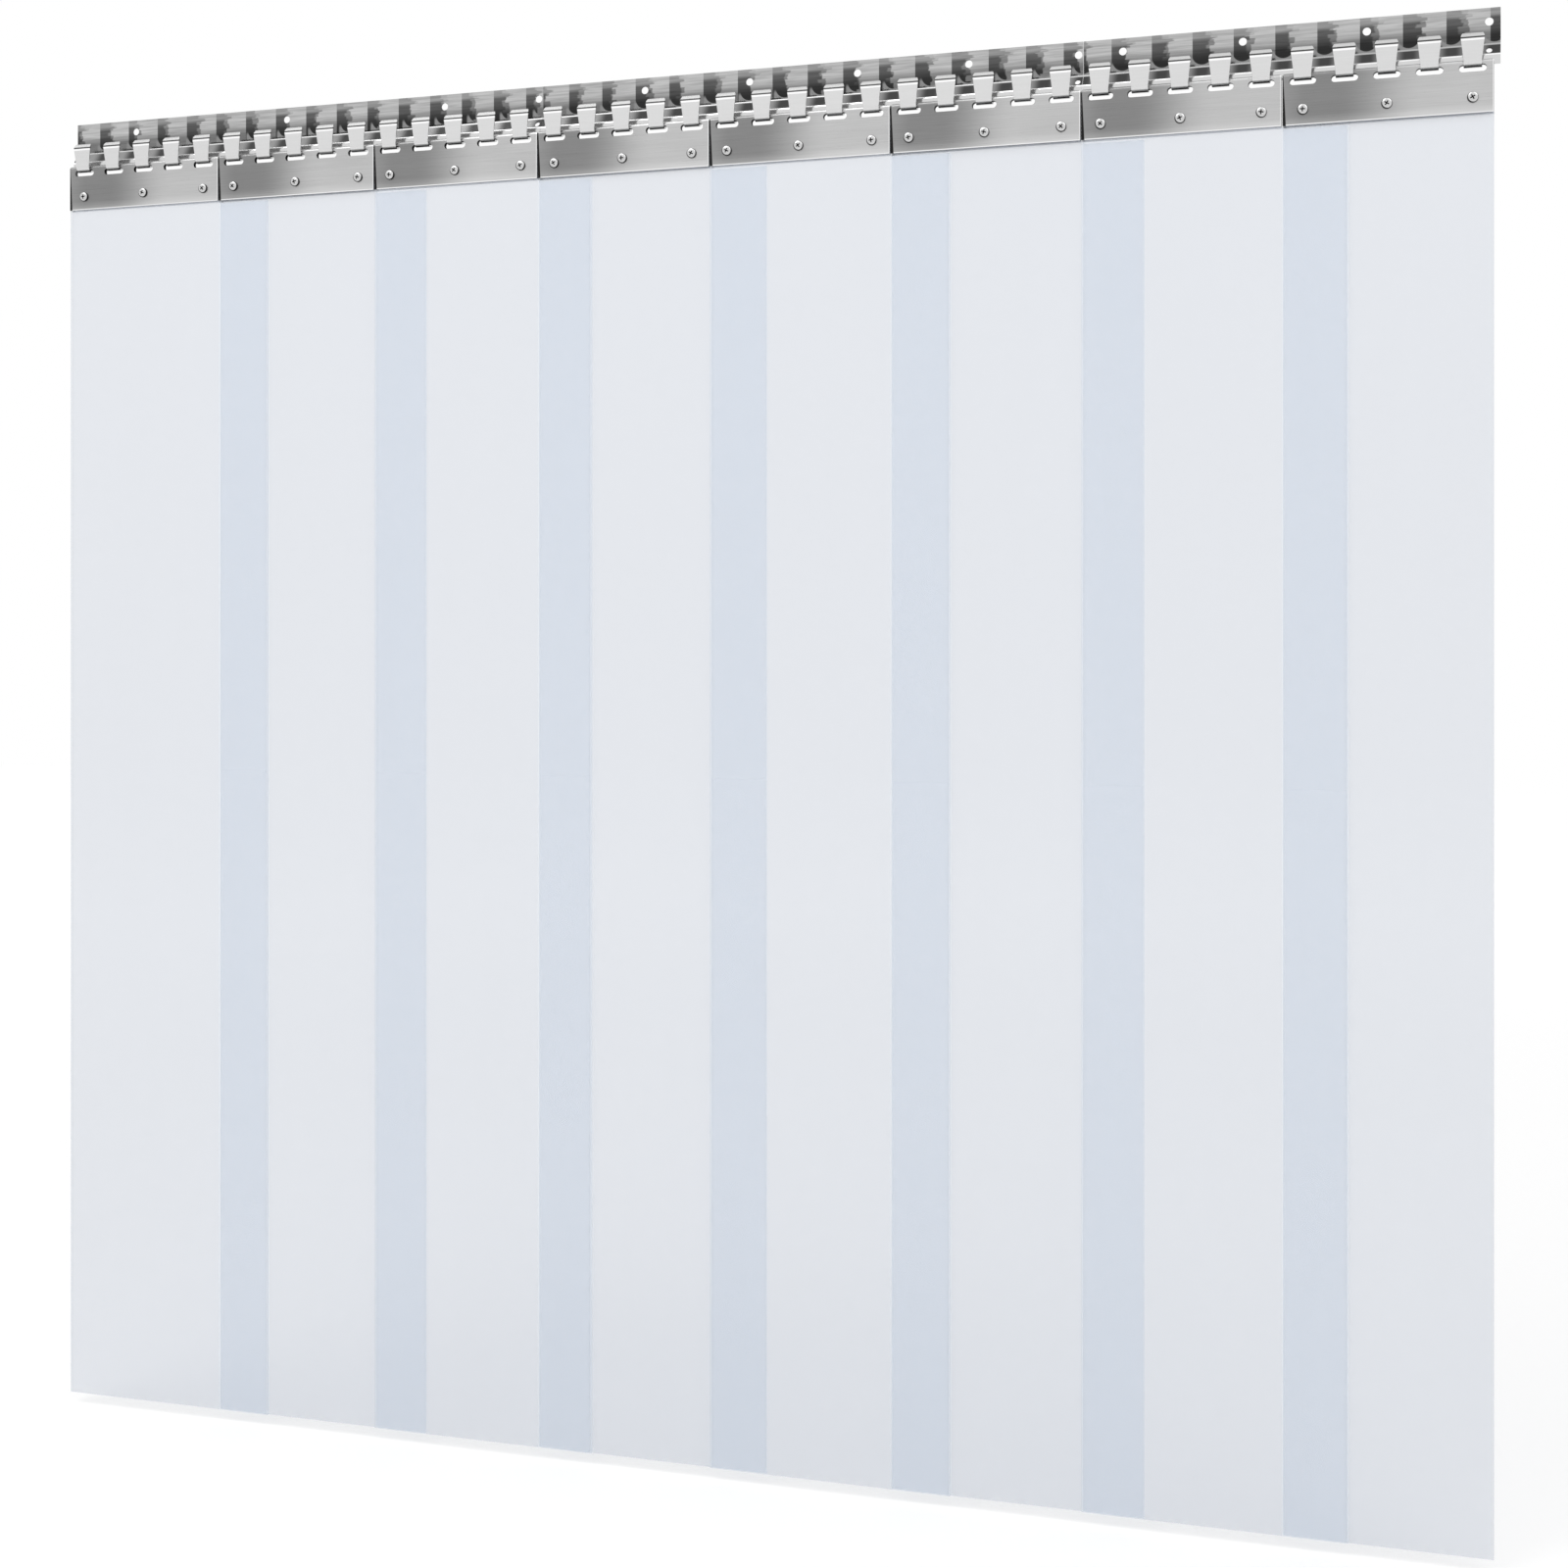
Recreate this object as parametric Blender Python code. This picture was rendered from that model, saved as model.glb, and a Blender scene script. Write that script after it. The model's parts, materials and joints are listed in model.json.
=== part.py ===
"""Hook-on strip curtain for a doorway, modelled in metres with +Z up.

A stainless comb rail in three lengths is fixed to the wall above the opening. Folded clamp
plates hang in the comb's hooks by their slots, and each clamp holds one clear plastic sheet
with three screws. The sheets lie in two planes in turn, front and rear, and each one passes
behind or before the left edge of its neighbour.

The wall is the plane y = 0, the front of the curtain is -Y, and x = 0 is the middle of the
clamps. z = 0 is the line of the rail's fixing holes.
"""

import math

import bmesh
import bpy
from mathutils import Matrix, Vector

# Sheets
SHEET_COUNT = 8
SHEET_WIDTH = 0.300
SHEET_THICKNESS = 0.002
CURTAIN_DROP = 1.700
SHEET_PLANE_GAP = 0.0003
NOTCH_CLEARANCE = 0.002
NOTCH_FILLET = 0.006
NOTCH_STEPS = 4

# Comb: hooks of the rail, and the clamps' slots that hang in them
HOOK_PITCH = 0.0456
HOOKS_PER_CLAMP = 5
HOOK_INNER_RADIUS = 0.0057
HOOK_ROOT_WIDTH = 0.0193
HOOK_TOP_WIDTH = 0.0252
HOOK_HEIGHT = 0.0248
HOOK_LEAN = 0.0015
HOOK_LIP_LENGTH = 0.0060
HOOK_LIP_ANGLE = math.radians(36)
HOOK_LIP_TIP_INSET = 0.0016
HOOK_FOLD_RADIUS = 0.0018
HOOK_FOLD_STEPS = 1
HOOK_RELIEF = 0.0012
HOOK_STEPS = 6

# Rail section
RAIL_SHEET = 0.0015
RAIL_BACK_HEIGHT = 0.0400
RAIL_SLOPE_ANGLE = math.radians(33)
RAIL_BEND_RADIUS = 0.0030
RAIL_LIP_BELOW_AXIS = 0.0030
RAIL_END_EXTRA = 0.0060
RAIL_JOINT_GAP = 0.0005
AXIS_STANDOFF = 0.0160
AXIS_DROP = 0.0612
BEND_STEPS = 3

# Holes of the rail
FIXING_HOLE_RADIUS = 0.0045
FIXING_HOLE_EDGE = 0.0152
END_HOLE_INSET = 0.0060
SLOPE_HOLE_RADIUS = 0.0032
SLOPE_HOLE_DROP = 0.0482
HOLE_SIDES = 12

# Rail lengths: name, hooks, hook gap of the first fixing hole, hook gaps between holes
RAIL_LENGTHS = (
    ("rail_left", 15, 2, 5),
    ("rail_centre", 15, 3, 3),
    ("rail_right", 10, 1, 3),
)

# Clamp plates
CLAMP_SHEET = 0.0010
CLAMP_SIDE_GAP = 0.0012
CLAMP_RIDGE_ABOVE_AXIS = 0.0016
CLAMP_FRONT_DROP = 0.0570
CLAMP_REAR_EXTRA = 0.0015
FOLD_STEPS = 6
SLOT_WIDTH = 0.0294
SLOT_HEIGHT = 0.0081
SLOT_STEPS = 4
SHEET_BELOW_SLOT = 0.0030

# Screws and nuts
SCREW_DROP = 0.0399
SCREW_HOOKS = (0, 2, 4)
SCREW_HEAD_RADIUS = 0.0060
SCREW_HEAD_HEIGHT = 0.0030
SCREW_CROWN_SHARE = 0.62
SCREW_RIM_SHARE = 0.40
SCREW_SHANK_RADIUS = 0.0030
SCREW_HOLE_RADIUS = 0.0034
SCREW_HOLE_SIDES = 8
SCREW_SIDES = 10
RECESS_SPAN = 0.0060
RECESS_WIDTH = 0.0013
RECESS_DEPTH = 0.0015
NUT_ACROSS_FLATS = 0.0100
NUT_HEIGHT = 0.0048
NUT_SIDES = 6

# Clearances
SEAT_GAP = 0.0003
CUT_OVERRUN = 0.0020

# Edges that turn more than this stay sharp when a mesh is shaded smooth
SHARP_ANGLE = math.radians(40)

# Places worked out from the sizes above
CLAMP_PITCH = HOOK_PITCH * HOOKS_PER_CLAMP
CLAMP_WIDTH = CLAMP_PITCH - CLAMP_SIDE_GAP
HOOK_COUNT = SHEET_COUNT * HOOKS_PER_CLAMP
LEFT_END = -CLAMP_PITCH * SHEET_COUNT / 2
TOP_EDGE = FIXING_HOLE_EDGE
AXIS_Y = -AXIS_STANDOFF
AXIS_Z = TOP_EDGE - AXIS_DROP
HOOK_MID_RADIUS = HOOK_INNER_RADIUS + RAIL_SHEET / 2
HOOK_STEP_ANGLE = math.pi / HOOK_STEPS
SEAT_RADIUS = HOOK_MID_RADIUS * math.cos(HOOK_STEP_ANGLE / 2) - RAIL_SHEET / 2 - SEAT_GAP
LEG_INNER = SHEET_PLANE_GAP / 2 + SHEET_THICKNESS + SEAT_GAP
LEG_OUTER = LEG_INNER + CLAMP_SHEET
LEG_MID = LEG_INNER + CLAMP_SHEET / 2
FOLD_CENTRE_Z = CLAMP_RIDGE_ABOVE_AXIS - LEG_OUTER
SLOT_TOP_Z = -math.sqrt(SEAT_RADIUS ** 2 - LEG_OUTER ** 2)
SLOT_BOTTOM_Z = SLOT_TOP_Z - SLOT_HEIGHT
SHEET_TOP_Z = SLOT_BOTTOM_Z - SHEET_BELOW_SLOT
SHEET_BOTTOM_Z = AXIS_DROP - CURTAIN_DROP
CLAMP_REAR_DROP = CLAMP_FRONT_DROP + CLAMP_REAR_EXTRA
NOTCH_Z = -math.hypot(CLAMP_REAR_DROP, LEG_OUTER) - NOTCH_CLEARANCE


def clear_scene():
    """Empty the scene of every object."""
    for old in list(bpy.data.objects):
        bpy.data.objects.remove(old, do_unlink=True)


def principled(name, colour, roughness, metallic, alpha=1.0):
    """A plain material with one Principled BSDF."""
    material = bpy.data.materials.new(name)
    material.use_nodes = True
    shader = material.node_tree.nodes["Principled BSDF"]
    shader.inputs["Base Color"].default_value = (*colour, 1.0)
    shader.inputs["Roughness"].default_value = roughness
    shader.inputs["Metallic"].default_value = metallic
    shader.inputs["Alpha"].default_value = alpha
    material.diffuse_color = (*colour, alpha)
    return material


def add_object(name, mesh, parent=None, location=(0, 0, 0)):
    """Place a mesh in the scene under its name."""
    obj = bpy.data.objects.new(name, mesh)
    bpy.context.scene.collection.objects.link(obj)
    obj.location = location
    obj.parent = parent
    return obj


def mesh_from(bm, name):
    """Turn a finished bmesh into a mesh with its faces pointing out."""
    bmesh.ops.recalc_face_normals(bm, faces=bm.faces)
    mesh = bpy.data.meshes.new(name)
    bm.to_mesh(mesh)
    bm.free()
    return mesh


def baked(obj, name, material):
    """Mesh of an object with its modifiers applied, smooth where it is round."""
    bpy.context.view_layer.update()
    depsgraph = bpy.context.evaluated_depsgraph_get()
    mesh = bpy.data.meshes.new_from_object(obj.evaluated_get(depsgraph))
    mesh.name = name
    mesh.materials.clear()
    mesh.materials.append(material)
    mesh.shade_smooth()
    mesh.set_sharp_from_angle(angle=SHARP_ANGLE)
    bpy.data.objects.remove(obj, do_unlink=True)
    return mesh


def add_thickness(obj, thickness):
    """Give a bent mid-surface its sheet thickness, half to each side."""
    solid = obj.modifiers.new("sheet", "SOLIDIFY")
    solid.thickness = thickness
    solid.offset = 0
    solid.use_even_offset = True


def add_boolean(obj, tool, operation):
    """Cut or join a tool body, and keep the tool out of the model."""
    tool.hide_render = True
    tool.display_type = "WIRE"
    cut = obj.modifiers.new(tool.name, "BOOLEAN")
    cut.operation = operation
    cut.solver = "EXACT"
    cut.object = tool


def arc(centre, radius, start, end, steps):
    """Points on an arc in the YZ plane, angles from +Y towards +Z."""
    points = []
    for index in range(steps + 1):
        angle = start + (end - start) * index / steps
        points.append((centre[0] + radius * math.cos(angle), centre[1] + radius * math.sin(angle)))
    return points


def rounded_corner(before, corner, after, radius, steps):
    """Points of the arc that rounds one corner of a sheet's mid-line."""
    back = Vector(before) - Vector(corner)
    ahead = Vector(after) - Vector(corner)
    half = back.angle(ahead) / 2
    reach = radius / math.tan(half)
    tangent_in = Vector(corner) + back.normalized() * reach
    tangent_out = Vector(corner) + ahead.normalized() * reach
    bisector = (back.normalized() + ahead.normalized()).normalized()
    centre = Vector(corner) + bisector * radius / math.sin(half)
    spoke_in = tangent_in - centre
    spoke_out = tangent_out - centre
    turn = spoke_in.angle_signed(spoke_out)
    points = []
    for index in range(steps + 1):
        spoke = spoke_in.copy()
        spoke.rotate(Matrix.Rotation(-turn * index / steps, 2))
        points.append(tuple(centre + spoke))
    return points


def rail_section():
    """Mid-line of the rail: back plate, slope to the front, start of the hanging lip."""
    back_y = -RAIL_SHEET / 2
    lip_y = AXIS_Y + HOOK_MID_RADIUS
    slope_top = TOP_EDGE - RAIL_BACK_HEIGHT
    slope_bottom = slope_top - (back_y - lip_y) / math.tan(RAIL_SLOPE_ANGLE)
    top = (back_y, TOP_EDGE)
    inner = (back_y, slope_top)
    outer = (lip_y, slope_bottom)
    lip = (lip_y, AXIS_Z)
    upper_bend = rounded_corner(top, inner, outer, RAIL_BEND_RADIUS, BEND_STEPS)
    lower_bend = rounded_corner(inner, outer, lip, RAIL_BEND_RADIUS, BEND_STEPS)
    return [top] + upper_bend + lower_bend


def hook_section():
    """Mid-line of a hook from the lip: round seat, leaning tab and turned-back end.

    Each entry is a point (y, z) and the hook's half width there.
    """
    root = HOOK_ROOT_WIDTH / 2
    top = HOOK_TOP_WIDTH / 2
    seat = arc((AXIS_Y, AXIS_Z), HOOK_MID_RADIUS, 0, -math.pi, HOOK_STEPS)
    foot = seat[-1]
    fold = (foot[0] - HOOK_LEAN, AXIS_Z + HOOK_HEIGHT)
    tip = (fold[0] + HOOK_LIP_LENGTH * math.sin(HOOK_LIP_ANGLE),
           fold[1] + HOOK_LIP_LENGTH * math.cos(HOOK_LIP_ANGLE))
    bend = rounded_corner(foot, fold, tip, HOOK_FOLD_RADIUS, HOOK_FOLD_STEPS)
    stations = [(point, root) for point in seat]
    stations += [(point, top) for point in bend]
    stations.append((tip, top - HOOK_LIP_TIP_INSET))
    return stations


def hook_x(index):
    """Middle of a hook counted from the rail's left end."""
    return LEFT_END + HOOK_PITCH * (index + 1 / 2)


def comb_surface(name, left, right, hooks):
    """Mid-surface of one rail length with its row of hooks, as a single bent blank."""
    bm = bmesh.new()
    rows = []
    for y, z in rail_section():
        rows.append([bm.verts.new((left, y, z)), bm.verts.new((right, y, z))])
    for upper, lower in zip(rows, rows[1:]):
        bm.faces.new((upper[0], upper[1], lower[1], lower[0]))

    lip_y = AXIS_Y + HOOK_MID_RADIUS
    lip_z = AXIS_Z - RAIL_LIP_BELOW_AXIS
    stations = hook_section()
    edge = [rows[-1][0], rows[-1][1], bm.verts.new((right, lip_y, lip_z))]
    for hook in reversed(hooks):
        middle = hook_x(hook)
        relief = HOOK_ROOT_WIDTH / 2 + HOOK_RELIEF
        hook_rows = []
        for (y, z), half in stations:
            pair = [bm.verts.new((middle - half, y, z)), bm.verts.new((middle + half, y, z))]
            hook_rows.append(pair)
        for upper, lower in zip(hook_rows, hook_rows[1:]):
            bm.faces.new((upper[0], upper[1], lower[1], lower[0]))
        edge.append(bm.verts.new((middle + relief, lip_y, lip_z)))
        edge.append(bm.verts.new((middle + relief, lip_y, AXIS_Z)))
        edge.append(hook_rows[0][1])
        edge.append(hook_rows[0][0])
        edge.append(bm.verts.new((middle - relief, lip_y, AXIS_Z)))
        edge.append(bm.verts.new((middle - relief, lip_y, lip_z)))
    edge.append(bm.verts.new((left, lip_y, lip_z)))
    bm.faces.new(edge)
    return add_object(name, mesh_from(bm, name))


def add_prism(bm, outline, y_from, y_to):
    """Closed prism along Y through an outline of (x, z) points."""
    near = [bm.verts.new((x, y_from, z)) for x, z in outline]
    face = bm.faces.new(near)
    swept = bmesh.ops.extrude_face_region(bm, geom=[face])
    moved = [item for item in swept["geom"] if isinstance(item, bmesh.types.BMVert)]
    bmesh.ops.translate(bm, verts=moved, vec=(0, y_to - y_from, 0))


def circle(x, z, radius, sides):
    """Outline of a round hole with its flats square to the axes."""
    points = []
    for index in range(sides):
        angle = 2 * math.pi * (index + 1 / 2) / sides
        points.append((x + radius * math.cos(angle), z + radius * math.sin(angle)))
    return points


def obround(x, z, width, height, steps):
    """Outline of a slot with round ends."""
    radius = height / 2
    reach = width / 2 - radius
    points = []
    for index in range(steps + 1):
        angle = -math.pi / 2 + math.pi * index / steps
        points.append((x + reach + radius * math.cos(angle), z + radius * math.sin(angle)))
    for index in range(steps + 1):
        angle = math.pi / 2 + math.pi * index / steps
        points.append((x - reach + radius * math.cos(angle), z + radius * math.sin(angle)))
    return points


def rail_hole_tool(name, first_hook, hooks, first_gap, gap_step):
    """All holes of one rail length: the fixing line, and the end pair beside the last hook."""
    bm = bmesh.new()
    rear = CUT_OVERRUN
    front = AXIS_Y
    end_x = LEFT_END + HOOK_PITCH * (first_hook + hooks) - END_HOLE_INSET
    for x in fixing_places(first_hook, hooks, first_gap, gap_step) + [end_x]:
        add_prism(bm, circle(x, 0, FIXING_HOLE_RADIUS, HOLE_SIDES), rear, front)
    slope_z = TOP_EDGE - SLOPE_HOLE_DROP
    add_prism(bm, circle(end_x, slope_z, SLOPE_HOLE_RADIUS, HOLE_SIDES), rear, front)
    return add_object(name, mesh_from(bm, name))


def fixing_places(first_hook, hooks, first_gap, gap_step):
    """Middles of the hook gaps that have a fixing hole above them."""
    return [LEFT_END + HOOK_PITCH * (first_hook + gap) for gap in range(first_gap, hooks - 1, gap_step)]


def build_rails(material):
    """The three rail lengths, end to end along the wall."""
    first_hook = 0
    for name, hooks, first_gap, gap_step in RAIL_LENGTHS:
        last_hook = first_hook + hooks
        left = LEFT_END + HOOK_PITCH * first_hook
        right = LEFT_END + HOOK_PITCH * last_hook - RAIL_JOINT_GAP
        if last_hook == HOOK_COUNT:
            right = -LEFT_END + RAIL_END_EXTRA
        surface = comb_surface(name + "_blank", left, right, range(first_hook, last_hook))
        add_thickness(surface, RAIL_SHEET)
        tool = rail_hole_tool(name + "_holes", first_hook, hooks, first_gap, gap_step)
        add_boolean(surface, tool, "DIFFERENCE")
        add_object(name, baked(surface, name, material))
        bpy.data.objects.remove(tool, do_unlink=True)
        first_hook = last_hook


def clamp_mesh(material):
    """Folded clamp plate about the hooks' axis: two legs, round ridge, slots and screw holes."""
    bm = bmesh.new()
    half = CLAMP_WIDTH / 2
    line = [((-LEG_MID, -CLAMP_FRONT_DROP), half)]
    for y, z in arc((0, FOLD_CENTRE_Z), LEG_MID, math.pi, 0, FOLD_STEPS):
        corner = LEG_MID - abs(y)
        line.append(((y, z), half - corner))
    line.append(((LEG_MID, -CLAMP_REAR_DROP), half))
    rows = []
    for (y, z), reach in line:
        rows.append([bm.verts.new((-reach, y, z)), bm.verts.new((reach, y, z))])
    for first, second in zip(rows, rows[1:]):
        bm.faces.new((first[0], first[1], second[1], second[0]))
    plate = add_object("clamp_blank", mesh_from(bm, "clamp_blank"))
    add_thickness(plate, CLAMP_SHEET)

    tools = bmesh.new()
    reach_y = LEG_OUTER + CUT_OVERRUN
    slot_z = (SLOT_TOP_Z + SLOT_BOTTOM_Z) / 2
    for hook in range(HOOKS_PER_CLAMP):
        outline = obround(clamp_hook_x(hook), slot_z, SLOT_WIDTH, SLOT_HEIGHT, SLOT_STEPS)
        add_prism(tools, outline, reach_y, -reach_y)
    for hook in SCREW_HOOKS:
        outline = circle(clamp_hook_x(hook), -SCREW_DROP, SCREW_HOLE_RADIUS, SCREW_HOLE_SIDES)
        add_prism(tools, outline, reach_y, -reach_y)
    tool = add_object("clamp_cuts", mesh_from(tools, "clamp_cuts"))
    add_boolean(plate, tool, "DIFFERENCE")
    mesh = baked(plate, "clamp", material)
    bpy.data.objects.remove(tool, do_unlink=True)
    return mesh


def clamp_hook_x(hook):
    """Place of a hook along its clamp, from the clamp's middle."""
    return HOOK_PITCH * (hook + 1 / 2) - CLAMP_PITCH / 2


def sheet_outline(trimmed):
    """Outline (x, z) of a sheet about its clamp: the overhang starts below the next clamp."""
    left = -CLAMP_WIDTH / 2
    shoulder = CLAMP_WIDTH / 2
    right = shoulder if trimmed else left + SHEET_WIDTH
    outline = [(left, SHEET_TOP_Z), (left, SHEET_BOTTOM_Z), (right, SHEET_BOTTOM_Z)]
    if trimmed:
        outline.append((right, SHEET_TOP_Z))
        return outline
    outline.append((right, NOTCH_Z))
    for index in range(NOTCH_STEPS + 1):
        angle = math.pi / 2 * index / NOTCH_STEPS
        across = NOTCH_FILLET * (1 - math.sin(angle))
        up = NOTCH_FILLET * (1 - math.cos(angle))
        outline.append((shoulder + across, NOTCH_Z + up))
    outline.append((shoulder, SHEET_TOP_Z))
    return outline


def sheet_mesh(name, front, trimmed, material):
    """One clear sheet with its three screw holes, in the front or the rear plane."""
    side = -1 if front else 1
    near = side * SHEET_PLANE_GAP / 2
    far = side * (SHEET_PLANE_GAP / 2 + SHEET_THICKNESS)
    bm = bmesh.new()
    add_prism(bm, sheet_outline(trimmed), near, far)
    sheet = add_object(name + "_blank", mesh_from(bm, name))
    tools = bmesh.new()
    reach_y = LEG_OUTER + CUT_OVERRUN
    for hook in SCREW_HOOKS:
        outline = circle(clamp_hook_x(hook), -SCREW_DROP, SCREW_HOLE_RADIUS, SCREW_HOLE_SIDES)
        add_prism(tools, outline, reach_y, -reach_y)
    tool = add_object(name + "_cuts", mesh_from(tools, name + "_cuts"))
    add_boolean(sheet, tool, "DIFFERENCE")
    mesh = baked(sheet, name, material)
    bpy.data.objects.remove(tool, do_unlink=True)
    return mesh


def turned(name, profile, sides):
    """Closed turned body about the Y axis from a profile of (radius, y) points."""
    bm = bmesh.new()
    rings = []
    for radius, y in profile:
        ring = []
        for x, z in circle(0, 0, radius, sides):
            ring.append(bm.verts.new((x, y, z)))
        rings.append(ring)
    for first, second in zip(rings, rings[1:]):
        for index in range(sides):
            after = (index + 1) % sides
            bm.faces.new((first[index], first[after], second[after], second[index]))
    bm.faces.new(rings[0])
    bm.faces.new(rings[-1])
    return add_object(name, mesh_from(bm, name))


def recess_tool():
    """Cross that cuts the driver recess into a screw head."""
    crown = -LEG_OUTER - SEAT_GAP - SCREW_HEAD_HEIGHT
    arm = RECESS_SPAN / 2
    web = RECESS_WIDTH / 2
    outline = []
    for quarter in range(4):
        turn = Matrix.Rotation(math.pi / 2 * quarter, 2)
        for corner in ((arm, -web), (arm, web), (web, web)):
            outline.append(tuple(turn @ Vector(corner)))
    bm = bmesh.new()
    add_prism(bm, outline, crown + RECESS_DEPTH, crown - CUT_OVERRUN)
    return add_object("recess_cut", mesh_from(bm, "recess_cut"))


def screw_mesh(material):
    """Pan-head screw through both legs with its nut run up against the rear leg."""
    seat = LEG_OUTER + SEAT_GAP
    crown = seat + SCREW_HEAD_HEIGHT
    rim = seat + SCREW_HEAD_HEIGHT * SCREW_RIM_SHARE
    head = turned("screw_blank", [
        (SCREW_HEAD_RADIUS * SCREW_CROWN_SHARE, -crown),
        (SCREW_HEAD_RADIUS, -rim),
        (SCREW_HEAD_RADIUS, -seat),
    ], SCREW_SIDES)
    shank_end = seat + NUT_HEIGHT / 2
    shank_start = -seat - SCREW_HEAD_HEIGHT * SCREW_RIM_SHARE / 2
    shank = turned("shank_join", [
        (SCREW_SHANK_RADIUS, shank_start),
        (SCREW_SHANK_RADIUS, shank_end),
    ], SCREW_HOLE_SIDES)
    nut_radius = NUT_ACROSS_FLATS / 2 / math.cos(math.pi / NUT_SIDES)
    nut = turned("nut_join", [(nut_radius, seat), (nut_radius, seat + NUT_HEIGHT)], NUT_SIDES)
    recess = recess_tool()
    add_boolean(head, shank, "UNION")
    add_boolean(head, nut, "UNION")
    add_boolean(head, recess, "DIFFERENCE")
    mesh = baked(head, "clamp_screw", material)
    for tool in (shank, nut, recess):
        bpy.data.objects.remove(tool, do_unlink=True)
    return mesh


def build_curtain(steel, bright, plastic):
    """Every clamp with its sheet and screws, each group under an empty on the hooks' axis."""
    clamp = clamp_mesh(steel)
    screw = screw_mesh(bright)
    for index in range(SHEET_COUNT):
        number = str(index + 1)
        swing = bpy.data.objects.new("swing_" + number, None)
        bpy.context.scene.collection.objects.link(swing)
        swing.location = (LEFT_END + CLAMP_PITCH * (index + 1 / 2), AXIS_Y, AXIS_Z)
        front = index % 2 == 0
        trimmed = index == SHEET_COUNT - 1
        add_object("clamp_" + number, clamp, swing)
        sheet = sheet_mesh("strip_" + number, front, trimmed, plastic)
        add_object("strip_" + number, sheet, swing)
        for place, hook in enumerate(SCREW_HOOKS):
            name = "screw_" + number + "_" + str(place + 1)
            add_object(name, screw, swing, (clamp_hook_x(hook), 0, -SCREW_DROP))


def build():
    """The whole curtain."""
    clear_scene()
    polished = principled("polished_stainless", (0.62, 0.62, 0.62), 0.18, 1.0)
    brushed = principled("brushed_stainless", (0.55, 0.55, 0.55), 0.34, 1.0)
    bright = principled("screw_steel", (0.60, 0.60, 0.60), 0.25, 1.0)
    plastic = principled("clear_plastic", (0.80, 0.85, 0.92), 0.12, 0.0, 0.45)
    build_rails(polished)
    build_curtain(brushed, bright, plastic)


build()
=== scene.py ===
# %% [markdown]
# # A hook-on strip curtain
# A doorway curtain of this kind has three sorts of parts. A stainless comb rail is fixed to the
# wall, folded clamp plates hang in its hooks, and each plate holds one wide sheet of clear
# plastic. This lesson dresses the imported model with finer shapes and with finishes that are
# worked out by nodes. Every length is in metres, the wall is y = 0 and the front is -Y.

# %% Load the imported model
import json
import math

import bpy
import numpy as np
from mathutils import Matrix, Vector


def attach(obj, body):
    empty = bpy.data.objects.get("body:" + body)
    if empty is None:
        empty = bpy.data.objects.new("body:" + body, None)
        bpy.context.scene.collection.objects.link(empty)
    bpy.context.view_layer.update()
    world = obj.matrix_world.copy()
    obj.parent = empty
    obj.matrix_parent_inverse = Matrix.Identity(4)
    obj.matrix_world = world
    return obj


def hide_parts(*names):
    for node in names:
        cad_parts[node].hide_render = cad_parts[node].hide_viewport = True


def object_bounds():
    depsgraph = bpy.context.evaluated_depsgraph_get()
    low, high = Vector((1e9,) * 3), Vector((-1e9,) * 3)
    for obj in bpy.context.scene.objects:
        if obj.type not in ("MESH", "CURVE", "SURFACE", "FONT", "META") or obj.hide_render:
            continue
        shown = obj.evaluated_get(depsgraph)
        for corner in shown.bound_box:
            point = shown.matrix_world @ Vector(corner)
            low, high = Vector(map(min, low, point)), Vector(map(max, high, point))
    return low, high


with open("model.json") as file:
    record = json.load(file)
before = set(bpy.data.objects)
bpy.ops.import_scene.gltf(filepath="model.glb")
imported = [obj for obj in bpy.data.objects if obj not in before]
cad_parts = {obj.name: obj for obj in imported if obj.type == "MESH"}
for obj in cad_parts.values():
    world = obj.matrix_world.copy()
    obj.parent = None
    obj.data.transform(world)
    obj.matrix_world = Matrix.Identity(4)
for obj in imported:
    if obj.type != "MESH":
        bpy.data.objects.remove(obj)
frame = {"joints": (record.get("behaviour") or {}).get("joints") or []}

CAD_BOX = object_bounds()
SWING = {joint["child"]: joint["pos_m"] for joint in frame["joints"]}
AXIS_Y, AXIS_Z = SWING["curtain_1"][1:]
print("box of the packed model:", CAD_BOX)

# %% [markdown]
# ## Camera
# The photograph is taken from the right, so the right edge of the curtain is taller than the
# left one, and upright edges stay upright. A camera that looks level and has its lens shifted
# keeps them so. Its place was found by fitting the curtain's four corners.

# %% Camera
PHOTO_SIDE = 1600
FOCAL_PIXELS = 2350
HORIZON_ROW = 660
CAMERA_PLACE = (0.9655, -2.647, -0.687)
CAMERA_TURN = math.radians(18.315)
SENSOR = 36.0

camera_data = bpy.data.cameras.new("camera")
camera_data.sensor_width = SENSOR
camera_data.lens = SENSOR * FOCAL_PIXELS / PHOTO_SIDE
camera_data.shift_y = (HORIZON_ROW - PHOTO_SIDE / 2) / PHOTO_SIDE
camera = bpy.data.objects.new("camera", camera_data)
camera.location = CAMERA_PLACE
camera.rotation_euler = (math.pi / 2, 0, CAMERA_TURN)
bpy.context.scene.collection.objects.link(camera)
bpy.context.scene.camera = camera
print("lens %.1f mm, shift %.4f" % (camera_data.lens, camera_data.shift_y))

# %% [markdown]
# ## Sheet metal as a flat blank
# The rail and the clamps are punched from flat sheet and then bent. The same order works here:
# a grid of quads over the flat sheet, rectangles cut out of it, round holes let in with rings
# of quads, and only then a formula that says where each flat place goes in the bent part. The
# sheet's thickness and the small broken edge come last, from Solidify and Bevel.

# %% Flat blank


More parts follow.
